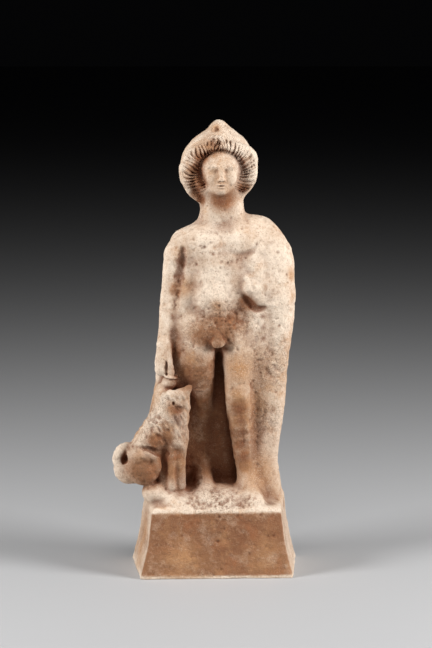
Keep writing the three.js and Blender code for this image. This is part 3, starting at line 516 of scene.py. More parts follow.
# Deep pits seen from the front: (x, z, radius, depth)
DEEP_PITS = [
    (0.4, 274.6, 0.8, 1.2), (-1.2, 274, 0.6, 0.8), (-0.7, 269, 0.7, 1.3), (-2.8, 266.2, 0.8, 1.3),
    (1.8, 266.6, 0.5, 0.8), (-7.8, 203, 0.8, 1.1), (-9.4, 201.6, 0.6, 0.7), (-12.8, 191.4, 0.7, 1),
    (-2.8, 198, 0.7, 0.9), (-5, 199.6, 0.5, 0.6), (8.4, 193.6, 0.6, 0.7), (13.9, 195.8, 0.7, 0.8),
    (39, 199.2, 0.7, 0.8), (44.4, 185.8, 0.6, 0.9), (40, 153.4, 0.7, 1), (36.6, 128, 0.6, 0.9),
    (38, 112, 0.7, 0.9), (27, 124, 0.6, 0.8), (-4.8, 155, 0.7, 0.8), (6.4, 158, 0.7, 0.8),
    (9.8, 151, 0.6, 0.8),
]
PITS = 1100  # small pits scattered over the whole surface

# Colours of the clay, the slip, the stains and the dirt, and the red-brown of the painted shade in hollows
# and creases
SLIP = (0.74, 0.61, 0.485)
BUFF = (0.53, 0.36, 0.24)
ORANGE = (0.46, 0.24, 0.11)
SHADE_AND_GRIME_RED_BROWN = (0.15, 0.045, 0.016)
BROWN_CLAY = (0.25, 0.115, 0.055)
RUST = (0.36, 0.13, 0.05)
GRIME = (0.13, 0.07, 0.04)


# Strokes of clay on the grid


def graded(low, high, fine, step, fine_step):
    """Grid nodes from low to high, closer together between the two ends of fine."""
    below = max(0, math.ceil((fine[0] - low) / step))
    above = max(0, math.ceil((high - fine[1]) / step))
    return np.concatenate([
        fine[0] - step * np.arange(below, 0, -1),
        np.arange(fine[0], fine[1], fine_step),
        fine[1] + step * np.arange(0, above + 1),
    ])


NODES = [
    graded(-68, 56, HEAD_BOX[0], BODY_STEP, HEAD_STEP),
    graded(-32, 31, HEAD_BOX[1], BODY_STEP, HEAD_STEP),
    np.concatenate([
        np.arange(-1.5 * BODY_STEP, HEAD_BOX[2][0], BODY_STEP),
        np.arange(HEAD_BOX[2][0] + HEAD_STEP, HEAD_BOX[2][1], HEAD_STEP),
    ]),
]
clay = np.full([len(nodes) for nodes in NODES], FAR, np.float32)
# The depths of the cuts are also used to paint shade into the cuts between the locks
cuts = np.zeros_like(clay)  # how deep the cuts between the locks are, for the colouring


def around(low, high, margin):
    """The part of the grid inside a box, and its x, y and z as arrays that broadcast together."""
    cut = []
    for nodes, start, end in zip(NODES, low, high):
        first = np.searchsorted(nodes, start - margin)
        last = np.searchsorted(nodes, end + margin)
        cut.append(slice(int(first), int(max(first, last))))
    x, y, z = (nodes[part].astype(np.float32) for nodes, part in zip(NODES, cut))
    return tuple(cut), (x[:, None, None], y[None, :, None], z[None, None, :])


def soft_min(a, b, blend):
    """The smaller of two distances, eased over the blend where they are close."""
    near = np.maximum(blend - np.abs(a - b), 0) / blend
    return np.minimum(a, b) - near * near * blend * 0.25


def soft_max(a, b, blend):
    """The larger of two distances, eased in the same way."""
    return -soft_min(-a, -b, blend)


def add(cut, distance, blend, carves):
    """Blends a stroke into the clay, or carves it out."""
    if carves:
        clay[cut] = soft_max(clay[cut], -distance, blend)
    else:
        clay[cut] = soft_min(clay[cut], distance, blend)


def egg(at, radii, blend, lean=0, carves=False):
    """An ellipsoid, leaning by that many degrees to the viewer's right."""
    reach = [max(radii) if lean else r for r in radii]
    low = [c - r for c, r in zip(at, reach)]
    high = [c + r for c, r in zip(at, reach)]
    cut, (x, y, z) = around(low, high, blend + 2 * BODY_STEP)
    x, y, z = x - at[0], y - at[1], z - at[2]
    sine, cosine = math.sin(math.radians(lean)), math.cos(math.radians(lean))
    x, z = x * cosine - z * sine, x * sine + z * cosine
    a, b, c = radii
    near = np.sqrt((x / a) ** 2 + (y / b) ** 2 + (z / c) ** 2)
    slope = np.sqrt((x / a ** 2) ** 2 + (y / b ** 2) ** 2 + (z / c ** 2) ** 2)
    add(cut, near * (near - 1) / np.maximum(slope, 1e-6), blend, carves)


def smooth_curve(path):
    """Points along a centripetal Catmull-Rom curve through the path's points, four to a span."""
    points = np.array([row[:3] for row in path], float)
    radii = np.array([row[3] for row in path], float)
    if len(path) == 2:
        return points, radii
    ends = np.vstack([2 * points[0] - points[1], points, 2 * points[-1] - points[-2]])
    beads, sizes = [], []
    for i in range(len(path) - 1):
        p0, p1, p2, p3 = ends[i:i + 4]
        before, span, after = (np.sqrt(np.linalg.norm(q - p)) for p, q in ((p0, p1), (p1, p2), (p2, p3)))
        leave = span * ((p1 - p0) / before - (p2 - p0) / (before + span) + (p2 - p1) / span)
        arrive = span * ((p2 - p1) / span - (p3 - p1) / (span + after) + (p3 - p2) / after)
        for t in (0, 0.25, 0.5, 0.75):
            beads.append(
                p1 * (2 * t ** 3 - 3 * t ** 2 + 1) + leave * (t ** 3 - 2 * t ** 2 + t)
                + p2 * (3 * t ** 2 - 2 * t ** 3) + arrive * (t ** 3 - t ** 2)
            )
            sizes.append(radii[i] + t * (radii[i + 1] - radii[i]))
    return np.vstack([beads, points[-1]]), np.array([*sizes, radii[-1]])


def tube(path, blend, carves=False):
    """A tube along a smooth curve, with its own radius at each point."""
    beads, sizes = smooth_curve(path)
    margin = blend + 2 * BODY_STEP
    whole, _ = around(beads.min(0) - sizes.max(), beads.max(0) + sizes.max(), margin)
    distance = np.full(clay[whole].shape, FAR, np.float32)
    for p, q, r, s in zip(beads[:-1], beads[1:], sizes[:-1], sizes[1:]):
        part, (x, y, z) = around(np.minimum(p, q) - max(r, s), np.maximum(p, q) + max(r, s), margin)
        step = q - p
        length = np.linalg.norm(step)
        t = (x - p[0]) * step[0] + (y - p[1]) * step[1] + (z - p[2]) * step[2]
        t = np.clip(t / length ** 2, 0, 1)
        away = np.sqrt(
            (x - p[0] - t * step[0]) ** 2 + (y - p[1] - t * step[1]) ** 2 + (z - p[2] - t * step[2]) ** 2
        )
        gap = away - r - t * (s - r)
        inner = tuple(slice(a.start - b.start, a.stop - b.start) for a, b in zip(part, whole))
        distance[inner] = np.minimum(distance[inner], gap)
    add(whole, distance, blend, carves)


def sheet(leftEdge, rightEdge, front, back, rounding, blend):
    """A slab between two depths, with rounded edges, whose outline runs through the two lists of (x, z)."""
    corners = []
    for edge in (leftEdge, rightEdge):
        points = np.array(edge, float)
        ends = np.vstack([points[0], points, points[-1]])
        for i in range(len(points) - 1):
            p0, p1, p2, p3 = ends[i:i + 4]
            for t in (0, 1 / 3, 2 / 3):
                corners.append(
                    0.5 * (2 * p1 + (p2 - p0) * t + (2 * p0 - 5 * p1 + 4 * p2 - p3) * t ** 2
                           + (3 * p1 - p0 - 3 * p2 + p3) * t ** 3)
                )
        corners.append(points[-1])
    corners = np.array(corners)
    low = (corners[:, 0].min(), front, corners[:, 1].min())
    high = (corners[:, 0].max(), back, corners[:, 1].max())
    cut, (x, y, z) = around(low, high, blend + 2 * BODY_STEP)
    x, z = x[:, 0], z[0]
    inside = np.zeros(np.broadcast(x, z).shape, bool)
    least = np.full(inside.shape, 1e9, np.float32)
    for p, q in zip(corners, np.roll(corners, -1, 0)):
        step = q - p
        if p[1] != q[1]:
            crosses = (p[1] > z) != (q[1] > z)
            inside ^= crosses & (x < step[0] * (z - p[1]) / step[1] + p[0])
        t = np.clip(((x - p[0]) * step[0] + (z - p[1]) * step[1]) / (step @ step), 0, 1)
        least = np.minimum(least, np.hypot(x - p[0] - t * step[0], z - p[1] - t * step[1]))
    across = (np.where(inside, -least, least) + rounding)[:, None, :]
    through = np.abs(y - (front + back) / 2) - (back - front) / 2 + rounding
    outside = np.hypot(np.maximum(across, 0), np.maximum(through, 0))
    add(cut, outside + np.minimum(np.maximum(across, through), 0) - rounding, blend, False)


def block(height, front, back, frontLean, backLean, frontHalfWidth, spread, taper, hollow, topSlope,
          corner, rim, blend):
    """The plinth: a block with sloping faces, whose meeting edges are softened."""
    reach = frontHalfWidth + spread * (back - front)
    cut, (x, y, z) = around((-reach, front, -2), (reach, back, height + 2), blend + 2 * BODY_STEP)
    half_width = frontHalfWidth + spread * (y - front) - taper * z - hollow * np.sin(math.pi * z / height)
    front_face = front + frontLean * z / height
    back_face = back - backLean * z / height
    ends = soft_max(front_face - y, y - back_face, corner)
    walls = soft_max(np.abs(x) - half_width, ends, corner)
    add(cut, soft_max(walls, z - height - topSlope * (y - (front + back) / 2), rim), blend, False)


def press_all(form, sizes):
    for size in sizes.values():
        form(**size)


def carve_all(form, sizes):
    for size in sizes.values():
        form(**size, carves=True)


# The statuette's parts


def comb(middle, height, inner, outer, locks, twist, depth, behind):
    """Radial cuts between the locks of the roll, fading out towards the face and the smooth outer rim."""
    low, high = (middle - outer[0], -20, height - outer[1]), (middle + outer[0], behind, height + outer[1])
    cut, (x, y, z) = around(low, high, 1)
    x, z = x - middle, z - height
    reach = np.hypot(x / outer[0], z / outer[1])
    start = inner / outer[0]
    angle = np.arctan2(x, z)
    # The cuts waver a little and differ in depth, as they do when cut by hand
    angle = angle + twist * np.sign(x) * reach ** 2 + 0.04 * np.sin(9 * angle + 6 * reach)
    groove = np.cos(angle * locks / 2) ** 2
    groove = groove ** 1.5 * (0.7 + 0.3 * np.cos(7 * angle + 9 * reach))
    inside = np.clip((reach - start) / 0.15, 0, 1) * np.clip((1 - reach) / 0.1, 0, 1)
    open_below = np.clip((2.7 - np.abs(angle)) / 0.2, 0, 1)
    near = np.clip((behind - y) / 3, 0, 1)
    cuts[cut] = groove * inside * open_below * near
    clay[cut] += depth * cuts[cut]


def press_face(middle, front, hairline, chin, halfWidth):
    """A calm, plain face: brow, nose and mouth stand at thirds between the hairline and the chin."""
    third = (hairline - chin) / 3
    brow = hairline - third
    nose_foot = brow - third
    eye = brow - 0.25 * third
    mouth = nose_foot - third / 3
    eye_gap = 0.4 * halfWidth
    egg((middle, front + 11.4, brow - 0.4), (halfWidth, 11.4, 12.4), 1.4)
    egg((middle, front + 9.4, brow - 6.4), (0.72 * halfWidth, 9, 9), 4)
    egg((middle, front + 7.6, chin + 5.2), (0.46 * halfWidth, 7.2, 5.4), 4)
    for side in (-1, 1):
        x = middle + side * eye_gap
        egg((x, front - 0.2, eye), (3, 2.7, 2.1), 1.4, carves=True)
        egg((middle + side * 4.9, front + 4.1, nose_foot + 2), (3.6, 3.2, 3.8), 2.5)
        egg((x, front + 2.8, eye), (2.2, 1.9, 1.3), 0.5)
        lid = [
            (x - side * 2.4, front + 1.2, eye - 0.1, 0.3),
            (x - side * 1, front + 0.7, eye + 1.1, 0.4),
            (x + side * 1, front + 0.9, eye + 1.1, 0.4),
            (x + side * 2.6, front + 1.9, eye - 0.1, 0.3),
        ]
        tube(lid, 0.5)
        lower = [
            (x - side * 2.2, front + 1.4, eye - 0.3, 0.3),
            (x, front + 1.1, eye - 1.3, 0.3),
            (x + side * 2.4, front + 2, eye - 0.3, 0.3),
        ]
        tube(lower, 0.6)
        ridge = [
            (middle + side * 1.4, front + 0.4, brow - 0.2, 0.8),
            (x, front + 0.5, brow + 0.9, 0.9),
            (x + side * 2.8, front + 1.8, brow + 0.1, 0.7),
        ]
        tube(ridge, 1.6)
    tube([
        (middle, front + 1, brow + 0.4, 1.2),
        (middle, front - 0.4, eye - 0.6, 1.15),
        (middle, front - 1.5, nose_foot + 1.8, 1.5),
    ], 1.3)
    egg((middle, front - 1.4, nose_foot + 1.2), (1.5, 1.4, 1.2), 0.8)
    for side in (-1, 1):
        egg((middle + side * 1.6, front - 0.2, nose_foot + 1), (1.1, 1.3, 1), 0.6)
        egg((middle + side * 0.9, front - 1, nose_foot + 0.1), (0.5, 0.7, 0.5), 0.3, carves=True)
        egg((middle + side * 1.1, front + 0.4, mouth + 0.7), (1.9, 1.3, 0.75), 0.6)
    egg((middle, front + 0.6, mouth - 0.8), (2.1, 1.4, 0.85), 0.6)
    egg((middle, front - 0.7, mouth), (3, 1.6, 0.38), 0.25, carves=True)
    egg((middle, front + 0.2, mouth - 2.1), (1.9, 1.1, 0.6), 1.4, carves=True)
    egg((middle, front + 3.4, chin + 2.6), (3, 3, 2.4), 2.4)


def press_head():
    press_all(egg, HEAD)
    press_all(egg, CAP)
    egg(**CAP_CHIP, carves=True)
    tube(**ROLL)
    egg(**FACE_HOLLOW, carves=True)
    comb(**COMB)
    press_face(**FACE)


def press_body():
    press_all(egg, NECK)
    press_all(egg, TORSO)
    press_all(tube, LEGS)
    tube(**CROTCH, carves=True)
    press_all(egg, LOINS)
    egg(**CROTCH_HOLLOW, carves=True)
    press_all(tube, RIGHT_ARM)
    carve_all(tube, GRIP)
    press_all(egg, FLASK)


def press_cloaked_arm():
    press_all(tube, FOLDS)
    press_all(tube, LEFT_ARM)
    carve_all(tube, GROOVES)
    press_all(tube, FIST)
    egg(**FIST_HOLLOW, carves=True)


def press_dog():
    press_all(tube, DOG)
    press_all(egg, HAUNCH)
    tube(**KNEE)
    tube(**TAIL)
    carve_all(tube, DOG_GROOVES)
    for hollow in (TAIL_CURL, JAW_HOLLOW, EYE):
        egg(**hollow, carves=True)


block(**PLINTH)
press_all(egg, GROUND)
sheet(**CLOAK)
press_all(egg, CLOAK_BACK)
press_head()
press_body()
press_cloaked_arm()
press_dog()
clay = np.maximum(clay, -NODES[2].astype(np.float32)[None, None, :])


# The clay's surface as a mesh

CORNERS = [(n & 1, n >> 1 & 1, n >> 2) for n in range(8)]


def shifted(values, a, b, c):
    """The values at one corner of every cell."""
    nx, ny, nz = values.shape
    return values[a:nx - 1 + a, b:ny - 1 + b, c:nz - 1 + c]


def one_piece(corners):
    """Whether these corners of a cell are joined to each other along its edges."""
    reached, found = list(corners[:1]), set(corners[:1])
    while reached:
        n = reached.pop()
        for bit in (1, 2, 4):
            if n ^ bit in corners and n ^ bit not in found:
                found.add(n ^ bit)
                reached.append(n ^ bit)
    return len(found) == len(corners)


# Whether each of the 256 kinds of cell has its full or its empty corners in more than one piece
TANGLED = np.array([
    not all(one_piece([n for n in range(8) if (kind >> n & 1) == full]) for full in (0, 1))
    for kind in range(256)
])


def mend():
    """Where two surfaces would meet in one cell, the cell is filled, so the skin never touches itself."""
    while True:
        kind = sum(
            (shifted(clay, *corner) < 0).astype(np.uint8) << n for n, corner in enumerate(CORNERS)
        )
        tangled = np.argwhere(TANGLED[kind])
        if not len(tangled):
            return
        for corner in CORNERS:
            spot = tuple((tangled + corner).T)
            clay[spot] = np.where(clay[spot] < 0, clay[spot], -0.4 * HEAD_STEP)


def wrap():
    """One vertex in each cell that the surface crosses, and one square round each crossed edge."""
    full = [shifted(clay, *corner) < 0 for corner in CORNERS]
    mixed = np.logical_or.reduce(full) & ~np.logical_and.reduce(full)
    cells = np.argwhere(mixed)
    number = np.full(clay.shape, -1, np.int32)
    number[tuple(cells.T)] = np.arange(len(cells))
    total = np.zeros((len(cells), 3))
    crossings = np.zeros(len(cells))
    for axis in range(3):
        along = np.eye(3, dtype=int)[axis]
        for corner in CORNERS:
            if corner[axis]:
                continue
            start = cells + corner
            f = clay[tuple(start.T)]
            g = clay[tuple((start + along).T)]
            crossed = (f < 0) != (g < 0)
            t = np.where(crossed, f / np.where(crossed, f - g, 1), 0)
            point = np.stack([NODES[a][start[:, a]] for a in range(3)], 1)
            point[:, axis] += t * (NODES[axis][start[:, axis] + 1] - NODES[axis][start[:, axis]])
            total += np.where(crossed[:, None], point, 0)
            crossings += crossed
    squares = []
    for axis in range(3):
        along, u, v = (np.eye(3, dtype=int)[(axis + n) % 3] for n in range(3))
        lower = tuple(slice(0, n - step) for n, step in zip(clay.shape, along))
        upper = tuple(slice(step, n) for n, step in zip(clay.shape, along))
        crossed = (clay[lower] < 0) != (clay[upper] < 0)
        start = np.argwhere(crossed)
        round_edge = [start, start - u, start - u - v, start - v]
        ring = np.stack([number[tuple(cells.T)] for cells in round_edge], 1)
        outward = clay[tuple(start.T)] < 0
        squares.append(np.where(outward[:, None], ring, ring[:, ::-1]))
    return total / crossings[:, None], np.vstack(squares)


def outer_skin(points, squares):
    """The largest shell alone, without the walls of hollows that later strokes have covered over."""
    shell = np.arange(len(points))
    while True:
        joined = shell.copy()
        np.minimum.at(joined, squares.ravel(), np.repeat(shell[squares].min(1), 4))
        joined = joined[joined]
        if (joined == shell).all():
            break
        shell = joined
    largest = np.bincount(shell[squares[:, 0]]).argmax()
    kept = shell == largest
    number = np.cumsum(kept) - 1
    return points[kept], number[squares[kept[squares[:, 0]]]]


def sample(values, points, grid=NODES):
    """The grid's values at any points, by straight-line interpolation."""
    cell, part = [], []
    for axis, nodes in enumerate(grid):
        i = np.clip(np.searchsorted(nodes, points[:, axis], side="right") - 1, 0, len(nodes) - 2)
        cell.append(i)
        part.append(np.clip((points[:, axis] - nodes[i]) / (nodes[i + 1] - nodes[i]), 0, 1))
    total = np.zeros(len(points))
    for a, b, c in CORNERS:
        weight = np.ones(len(points))
        for share, step in zip(part, (a, b, c)):
            weight *= share if step else 1 - share
        total += weight * values[cell[0] + a, cell[1] + b, cell[2] + c]
    return total


def outward_normals(points):
    """The direction out of the clay at each point."""
    slopes = []
    for axis in range(3):
        step = np.zeros(3)
        step[axis] = 0.6 * BODY_STEP
        slopes.append(sample(clay, points + step) - sample(clay, points - step))
    slopes = np.stack(slopes, 1)
    return slopes / np.maximum(np.linalg.norm(slopes, axis=1), 1e-9)[:, None]


mend()
points, squares = outer_skin(*wrap())


# Relief finer than the strokes: the crust, the grain and the pits of worn clay

LOW_CORNER = np.array([nodes[0] for nodes in NODES]) - 60
lattices = {}


def cloudy(points, size, seed):
    """Smooth random values from -1 to 1, in lumps about that many millimetres across."""
    where = (points - LOW_CORNER) / size
    cell = np.floor(where).astype(int)
    part = where - cell
    part = part * part * (3 - 2 * part)
    if seed not in lattices:
        lattices[seed] = np.random.default_rng(seed).uniform(-1, 1, cell.max(0) + 2)
    lattice = lattices[seed]
    cell = np.minimum(cell, np.array(lattice.shape) - 2)
    total = np.zeros(len(points))
    for a, b, c in CORNERS:
        weight = np.ones(len(points))
        for axis, step in enumerate((a, b, c)):
            weight *= part[:, axis] if step else 1 - part[:, axis]
        total += weight * lattice[cell[:, 0] + a, cell[:, 1] + b, cell[:, 2] + c]
    return total


def patch(points, spots):
    """How strongly each point belongs to the named spots, from 0 to 1; a spot is (x, y, z, radius)."""
    total = np.zeros(len(points))
    for x, y, z, radius in spots:
        apart = np.linalg.norm(points - (x, y, z), axis=1) / radius
        total = np.maximum(total, np.exp(-apart ** 2))
    return total


def coat_and_crumbs(points):
    """Height of the dog's cut coat and of the crumbly places."""
    slanted = points * (1, 1, 0.36) + 0.5 * points[:, 2:] * (1, 0, 0)
    coat = 1.1 * patch(points, COAT) * cloudy(slanted, 1.4, 7)
    return coat + 0.8 * patch(points, CRUMBLY) * cloudy(points, 1.3, 8)


def on_front(x, z):
    """The point of the surface that is seen from the front at x and z."""
    near = points[np.hypot(points[:, 0] - x, points[:, 2] - z) < 1.2]
    return near[near[:, 1].argmin()]


def pitted(points, pits):
    """How deep the pits are at each point; a pit is (x, y, z, radius, depth)."""
    order = np.argsort(points[:, 2])
    heights = points[order, 2]
    total = np.zeros(len(points))
    for x, y, z, radius, depth in pits:
        close = order[slice(*np.searchsorted(heights, (z - 2.5 * radius, z + 2.5 * radius)))]
        apart = np.linalg.norm(points[close] - (x, y, z), axis=1) / radius
        total[close] = np.maximum(total[close], depth * np.exp(-apart ** 2))
    return total


CROWD_STEP = 1.5  # spacing of the coarser grid that hollows and edges are found on
CROWD_NODES = [np.arange(nodes[0], nodes[-1] + CROWD_STEP, CROWD_STEP) for nodes in NODES]
crowd_points = np.stack(np.meshgrid(*CROWD_NODES, indexing="ij"), -1).reshape(-1, 3)
filled = np.clip(0.5 - sample(clay, crowd_points) / CROWD_STEP, 0, 1)
filled = filled.reshape([len(nodes) for nodes in CROWD_NODES])


def crowding(points, reach):
    """How much of the space within reach of each point is clay: about a half beside a flat face."""
    blurred = filled
    for axis, nodes in enumerate(CROWD_NODES):
        weights = np.exp(-0.5 * ((nodes[:, None] - nodes[None, :]) / reach) ** 2)
        weights /= np.exp(-0.5 * (np.arange(-40, 41) * CROWD_STEP / reach) ** 2).sum()
        blurred = np.moveaxis(np.tensordot(weights, blurred, (1, axis)), 0, axis)
    return sample(blurred, points, CROWD_NODES)


# The points are drawn on to the true surface before the relief is added
for _ in range(2):
    normals = outward_normals(points)
    points -= normals * np.clip(sample(clay, points), -0.3, 0.3)[:, None]
underside = points[:, 2] < 0.3 * BODY_STEP
normals = outward_normals(points)

# Slow swells, lumps, grain and small hollows, in millimetres, with the last two stronger in the crust
crust = patch(points, CRUST)
relief = 0.3 * cloudy(points, 9, 1) + 0.22 * cloudy(points, 4, 2)
relief += (0.16 + 0.2 * crust) * cloudy(points, 1.9, 3)
relief -= (0.4 + 0.9 * crust) * np.maximum(cloudy(points, 2.2, 4) - 0.35, 0)
relief += coat_and_crumbs(points)
# The grid's points crowd together round the head, so each of them is picked less often there
chance = np.random.default_rng(5)
near_head = points[:, 2] > HEAD_BOX[2][0]
evenly = np.where(near_head, (HEAD_STEP / BODY_STEP) ** 2, 1)
scattered = points[chance.choice(len(points), PITS, replace=False, p=evenly / evenly.sum())]
small_pits = [(*spot, chance.uniform(0.5, 1), chance.uniform(0.3, 0.8)) for spot in scattered]
deep_pits = [(*on_front(x, z), radius, depth) for x, z, radius, depth in DEEP_PITS]
relief -= np.maximum(pitted(points, small_pits), pitted(points, deep_pits))
# The face is worn smooth
relief *= 1 - 0.7 * patch(points, [(FACE["middle"], FACE["front"], 248, 11)])
points += normals * relief[:, None]
points[underside, 2] = 0
points[~underside, 2] = np.maximum(points[~underside, 2], 0)


# The mesh takes the solid's place

mesh = bpy.data.meshes.new("statuette_clay")
mesh.from_pydata((points * MM).tolist(), [], squares.tolist())
statuette = bpy.data.objects.new("statuette_clay", mesh)
bpy.context.scene.collection.objects.link(statuette)
thinning = statuette.modifiers.new("thinning", "DECIMATE")
thinning.ratio = min(1.0, TRIANGLES / (2 * len(squares)))
bpy.context.view_layer.update()
thinned = bpy.data.meshes.new_from_object(statuette.evaluated_get(bpy.context.evaluated_depsgraph_get()))
statuette.modifiers.clear()
statuette.data = thinned
thinned.name = "statuette_clay"
thinned.shade_smooth()

count = len(thinned.vertices)
settled = np.zeros(count * 3)
thinned.vertices.foreach_get("co", settled)
settled = settled.reshape(-1, 3) / MM
outward = outward_normals(settled)


def ease(values, start, end):
    """Runs from 0 at the start to 1 at the end."""
    return np.clip((values - start) / (end - start), 0, 1)


def keep_on_mesh(name, values):
    """Stores values from 0 to 1 on the mesh, for the material to read."""
    layer = thinned.attributes.new(name, "FLOAT", "POINT")
    layer.data.foreach_set("value", np.clip(values, 0, 1).astype(np.float32))


height = settled[:, 2]
above_plinth = ease(height, 40, 42)
# Painted light: the plinth's side faces are painted paler
lit_plinth_sides = ease(np.abs(outward[:, 0]), 0, 0.7) * ease(height, 40.5, 39)
# Painted shade: the plinth's front face is painted browner
shaded_plinth_front = ease(-outward[:, 1], 0, 0.7) * ease(height, 40.5, 39) * ease(height, 1.6, 3.1)
on_face = patch(settled, [(FACE["middle"], FACE["front"], 247, 10)])
outside_hair = np.maximum(ease(height, 232, 228), on_face)
# Painted shade in the cuts between the locks, weaker towards the viewer's right
lock_cut_shade = sample(cuts, settled) * (1 - 0.35 * ease(settled[:, 0], 4, 10))
closeness = crowding(settled, 1.7) - 0.5
# Painted shade in the dark spots and in the bottoms of the deep pits, with some stains among the spots
shade_and_stain_spots = np.maximum(patch(settled, DARK_SHADE_AND_STAINS), 1.6 * pitted(settled, deep_pits))
# Painted shade, darker towards the top of the plinth's front face
shaded_upper_plinth_front = 0.25 * shaded_plinth_front * ease(height, 12, 26)
# Painted shade, with some dirt, in the low places of the dog's coat and of the crumbly clay
dirt_and_shade = 1.4 * np.maximum(-0.08 - coat_and_crumbs(settled), 0)
# Painted shade with some grime: darker and redder where the space just outside the surface is crowded with
# clay, in recesses
keep_on_mesh("painted_recess_shade_and_grime", (crowding(settled + 4 * outward, 5) - 0.2) * 3.6)
# Painted shade in creases outside the hair, and in the cuts between the locks
keep_on_mesh("groove", np.maximum(closeness * 5 * outside_hair, lock_cut_shade))
keep_on_mesh("edge", -closeness * 5)
keep_on_mesh("bare", np.maximum(patch(settled, BARE), 0.3 * on_face))
keep_on_mesh("crust", patch(settled, CRUST))
# The palest slip, and painted light on the lit parts and on the plinth's sides
keep_on_mesh("pale_slip_and_painted_light", np.maximum(patch(settled, PALE_SLIP_AND_PAINTED_LIGHT) * above_plinth, 0.9 * lit_plinth_sides))
# Brown stains, and painted shade in the hollows, under the chin and on the plinth's front
keep_on_mesh("brown_stain_and_shade", np.maximum(1.6 * patch(settled, BROWN_STAINS_AND_SHADE) * above_plinth, 1.5 * shaded_plinth_front))
# Painted shade, with some stains: the dark spots and pits, the top of the plinth's front, and the low
# places of the coat and crumbs
keep_on_mesh("painted_dark_shade_and_stain", np.maximum.reduce([shade_and_stain_spots, shaded_upper_plinth_front, dirt_and_shade]))


# Terracotta: buff clay under a worn pale slip, with painted shade and grime making the hollows redder and
# browner, and painted light on lit parts


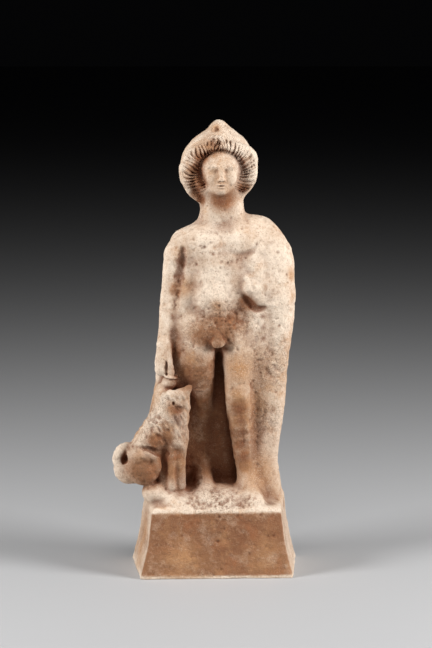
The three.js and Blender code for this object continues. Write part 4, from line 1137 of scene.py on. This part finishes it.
def terracotta():
    material = bpy.data.materials.new("terracotta")
    material.use_nodes = True
    tree = material.node_tree
    nodes, links = tree.nodes, tree.links
    shader = nodes["Principled BSDF"]
    place = nodes.new("ShaderNodeTexCoord").outputs["Object"]

    def noise(scale, detail=4, rough=0.55):
        made = nodes.new("ShaderNodeTexNoise")
        made.inputs["Scale"].default_value = scale
        made.inputs["Detail"].default_value = detail
        made.inputs["Roughness"].default_value = rough
        links.new(place, made.inputs["Vector"])
        return made.outputs["Fac"]

    def attribute(name):
        made = nodes.new("ShaderNodeAttribute")
        made.attribute_name = name
        return made.outputs["Fac"]

    def ramp(value, low, high, least=0, most=1):
        made = nodes.new("ShaderNodeMapRange")
        made.inputs["From Min"].default_value = low
        made.inputs["From Max"].default_value = high
        made.inputs["To Min"].default_value = least
        made.inputs["To Max"].default_value = most
        links.new(value, made.inputs["Value"])
        return made.outputs["Result"]

    def math_node(kind, a, b):
        made = nodes.new("ShaderNodeMath")
        made.operation = kind
        made.use_clamp = True
        for socket, value in zip(made.inputs, (a, b)):
            if isinstance(value, (int, float)):
                socket.default_value = value
            else:
                links.new(value, socket)
        return made.outputs[0]

    def mix(amount, under, over):
        made = nodes.new("ShaderNodeMix")
        made.data_type = "RGBA"
        links.new(amount, made.inputs["Factor"])
        for socket, value in ((made.inputs[6], under), (made.inputs[7], over)):
            if isinstance(value, tuple):
                socket.default_value = (*value, 1)
            else:
                links.new(value, socket)
        return made.outputs[2]

    def times(a, b):
        return math_node("MULTIPLY", a, b)

    speckle = noise(640, 3, 0.6)
    grain = noise(1500, 3, 0.6)
    # The pale mask adds the palest slip and painted light
    slip = math_node("ADD", ramp(noise(34, 8, 0.68), 0.4, 0.62), times(attribute("pale_slip_and_painted_light"), 0.8))
    slip = math_node("ADD", slip, times(attribute("edge"), 0.8))
    slip = math_node("SUBTRACT", slip, math_node("MAXIMUM", attribute("bare"), attribute("brown_stain_and_shade")))
    # Brown stains and painted shade, broken up by noise
    brown_stain_and_shade = times(attribute("brown_stain_and_shade"), ramp(noise(95, 7, 0.72), 0.24, 0.5))
    rust = times(brown_stain_and_shade, ramp(noise(75, 6, 0.65), 0.5, 0.68))
    bare = times(attribute("bare"), ramp(noise(90, 5), 0.25, 0.6))
    # Painted shade and grime in the recesses, broken up by noise
    recess_shade_and_grime_amount = times(attribute("painted_recess_shade_and_grime"), ramp(noise(120, 4), 0.1, 0.42))
    dirt_and_shade = times(times(attribute("crust"), 0.7), ramp(noise(1100, 3, 0.6), 0.52, 0.66))
    dirt_and_shade = math_node("ADD", dirt_and_shade, ramp(speckle, 0.66, 0.76, most=0.7))
    # The slip grain is kept out of the brown stains and out of the painted shade
    unshaded_unstained = math_node("SUBTRACT", 1, times(math_node("MAXIMUM", brown_stain_and_shade, recess_shade_and_grime_amount), 0.8))
    # Each tint is laid over the ones before it
    colour = mix(slip, BUFF, SLIP)
    tints = [
        (brown_stain_and_shade, BROWN_CLAY),
        (times(rust, 0.6), RUST),
        (bare, ORANGE),
        (ramp(noise(60, 7, 0.7), 0.53, 0.66, most=0.6), ORANGE),
        # Painted shade from here on: red-brown in recesses, creases, the cuts between the locks and the
        # darkest spots
        (recess_shade_and_grime_amount, SHADE_AND_GRIME_RED_BROWN),
        # Painted shade in creases and between the locks
        (times(attribute("groove"), 0.65), SHADE_AND_GRIME_RED_BROWN),
        # Painted shade, with a few stains, almost black in the darkest spots
        (times(attribute("painted_dark_shade_and_stain"), 0.8), SHADE_AND_GRIME_RED_BROWN),
        (ramp(noise(230, 6, 0.75), 0.5, 0.7, most=0.4), BROWN_CLAY),
        (ramp(noise(900, 4, 0.7), 0.54, 0.66, most=0.5), BROWN_CLAY),
        (dirt_and_shade, GRIME),
        (times(ramp(grain, 0.52, 0.7, most=0.45), unshaded_unstained), SLIP),
    ]
    for amount, tint in tints:
        colour = mix(amount, colour, tint)
    height = math_node("ADD", times(grain, 0.35), times(speckle, 0.5))
    height = math_node("ADD", height, times(noise(420, 4, 0.6), 0.3))
    height = math_node("SUBTRACT", height, times(dirt_and_shade, 0.3))
    bump = nodes.new("ShaderNodeBump")
    bump.inputs["Strength"].default_value = 0.9
    bump.inputs["Distance"].default_value = 0.0012
    links.new(height, bump.inputs["Height"])
    links.new(colour, shader.inputs["Base Color"])
    links.new(ramp(speckle, 0, 1, 0.84, 0.97), shader.inputs["Roughness"])
    links.new(bump.outputs["Normal"], shader.inputs["Normal"])
    shader.inputs["Specular IOR Level"].default_value = 0.25
    return material


thinned.materials.append(terracotta())
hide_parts("statuette")
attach(statuette, "root")


# Floor, light and camera


def plain_material(name, colour, roughness):
    material = bpy.data.materials.new(name)
    material.use_nodes = True
    shader = material.node_tree.nodes["Principled BSDF"]
    shader.inputs["Base Color"].default_value = (*colour, 1)
    shader.inputs["Roughness"].default_value = roughness
    return material


def soft_light(name, place, size, power):
    lamp = bpy.data.lights.new(name, "AREA")
    lamp.shape = "DISK"
    lamp.size = size
    lamp.energy = power
    light = bpy.data.objects.new(name, lamp)
    bpy.context.scene.collection.objects.link(light)
    light.location = place
    light.rotation_euler = (Vector((0, 0, 0.14)) - Vector(place)).to_track_quat("-Z", "Y").to_euler()


floor_mesh = bpy.data.meshes.new("floor")
floor_mesh.from_pydata([(-20, -3, 0), (20, -3, 0), (20, 40, 0), (-20, 40, 0)], [], [(0, 1, 2, 3)])
floor_mesh.materials.append(plain_material("floor", (0.46, 0.46, 0.465), 0.7))
floor = bpy.data.objects.new("floor", floor_mesh)
bpy.context.scene.collection.objects.link(floor)

soft_light("above", (0, -0.5, 1), 0.5, 2.6)
soft_light("left", (-0.8, -0.35, 0.5), 0.4, 10)
soft_light("right", (0.8, -0.35, 0.5), 0.4, 11.6)
world = bpy.data.worlds.new("world")
world.use_nodes = True
world.node_tree.nodes["Background"].inputs["Color"].default_value = (0.0014, 0.0014, 0.0016, 1)
world.node_tree.nodes["Background"].inputs["Strength"].default_value = 1
bpy.context.scene.world = world
bpy.context.scene.view_settings.view_transform = "Standard"

camera = bpy.data.objects.new("camera", bpy.data.cameras.new("camera"))
bpy.context.scene.collection.objects.link(camera)
camera.data.lens = 107.93
camera.data.sensor_width = 36  # runs along the picture's longer side
camera.data.clip_start = 0.05
camera.data.clip_end = 100
target = Vector((0.00036, 0, 0.1543))
around_figure, above_floor, away = math.radians(-2), math.radians(8), 1.2
camera.location = target + away * Vector((
    math.sin(around_figure) * math.cos(above_floor),
    -math.cos(around_figure) * math.cos(above_floor),
    math.sin(above_floor),
))
camera.rotation_euler = (target - camera.location).to_track_quat("-Z", "Y").to_euler()
bpy.context.scene.camera = camera
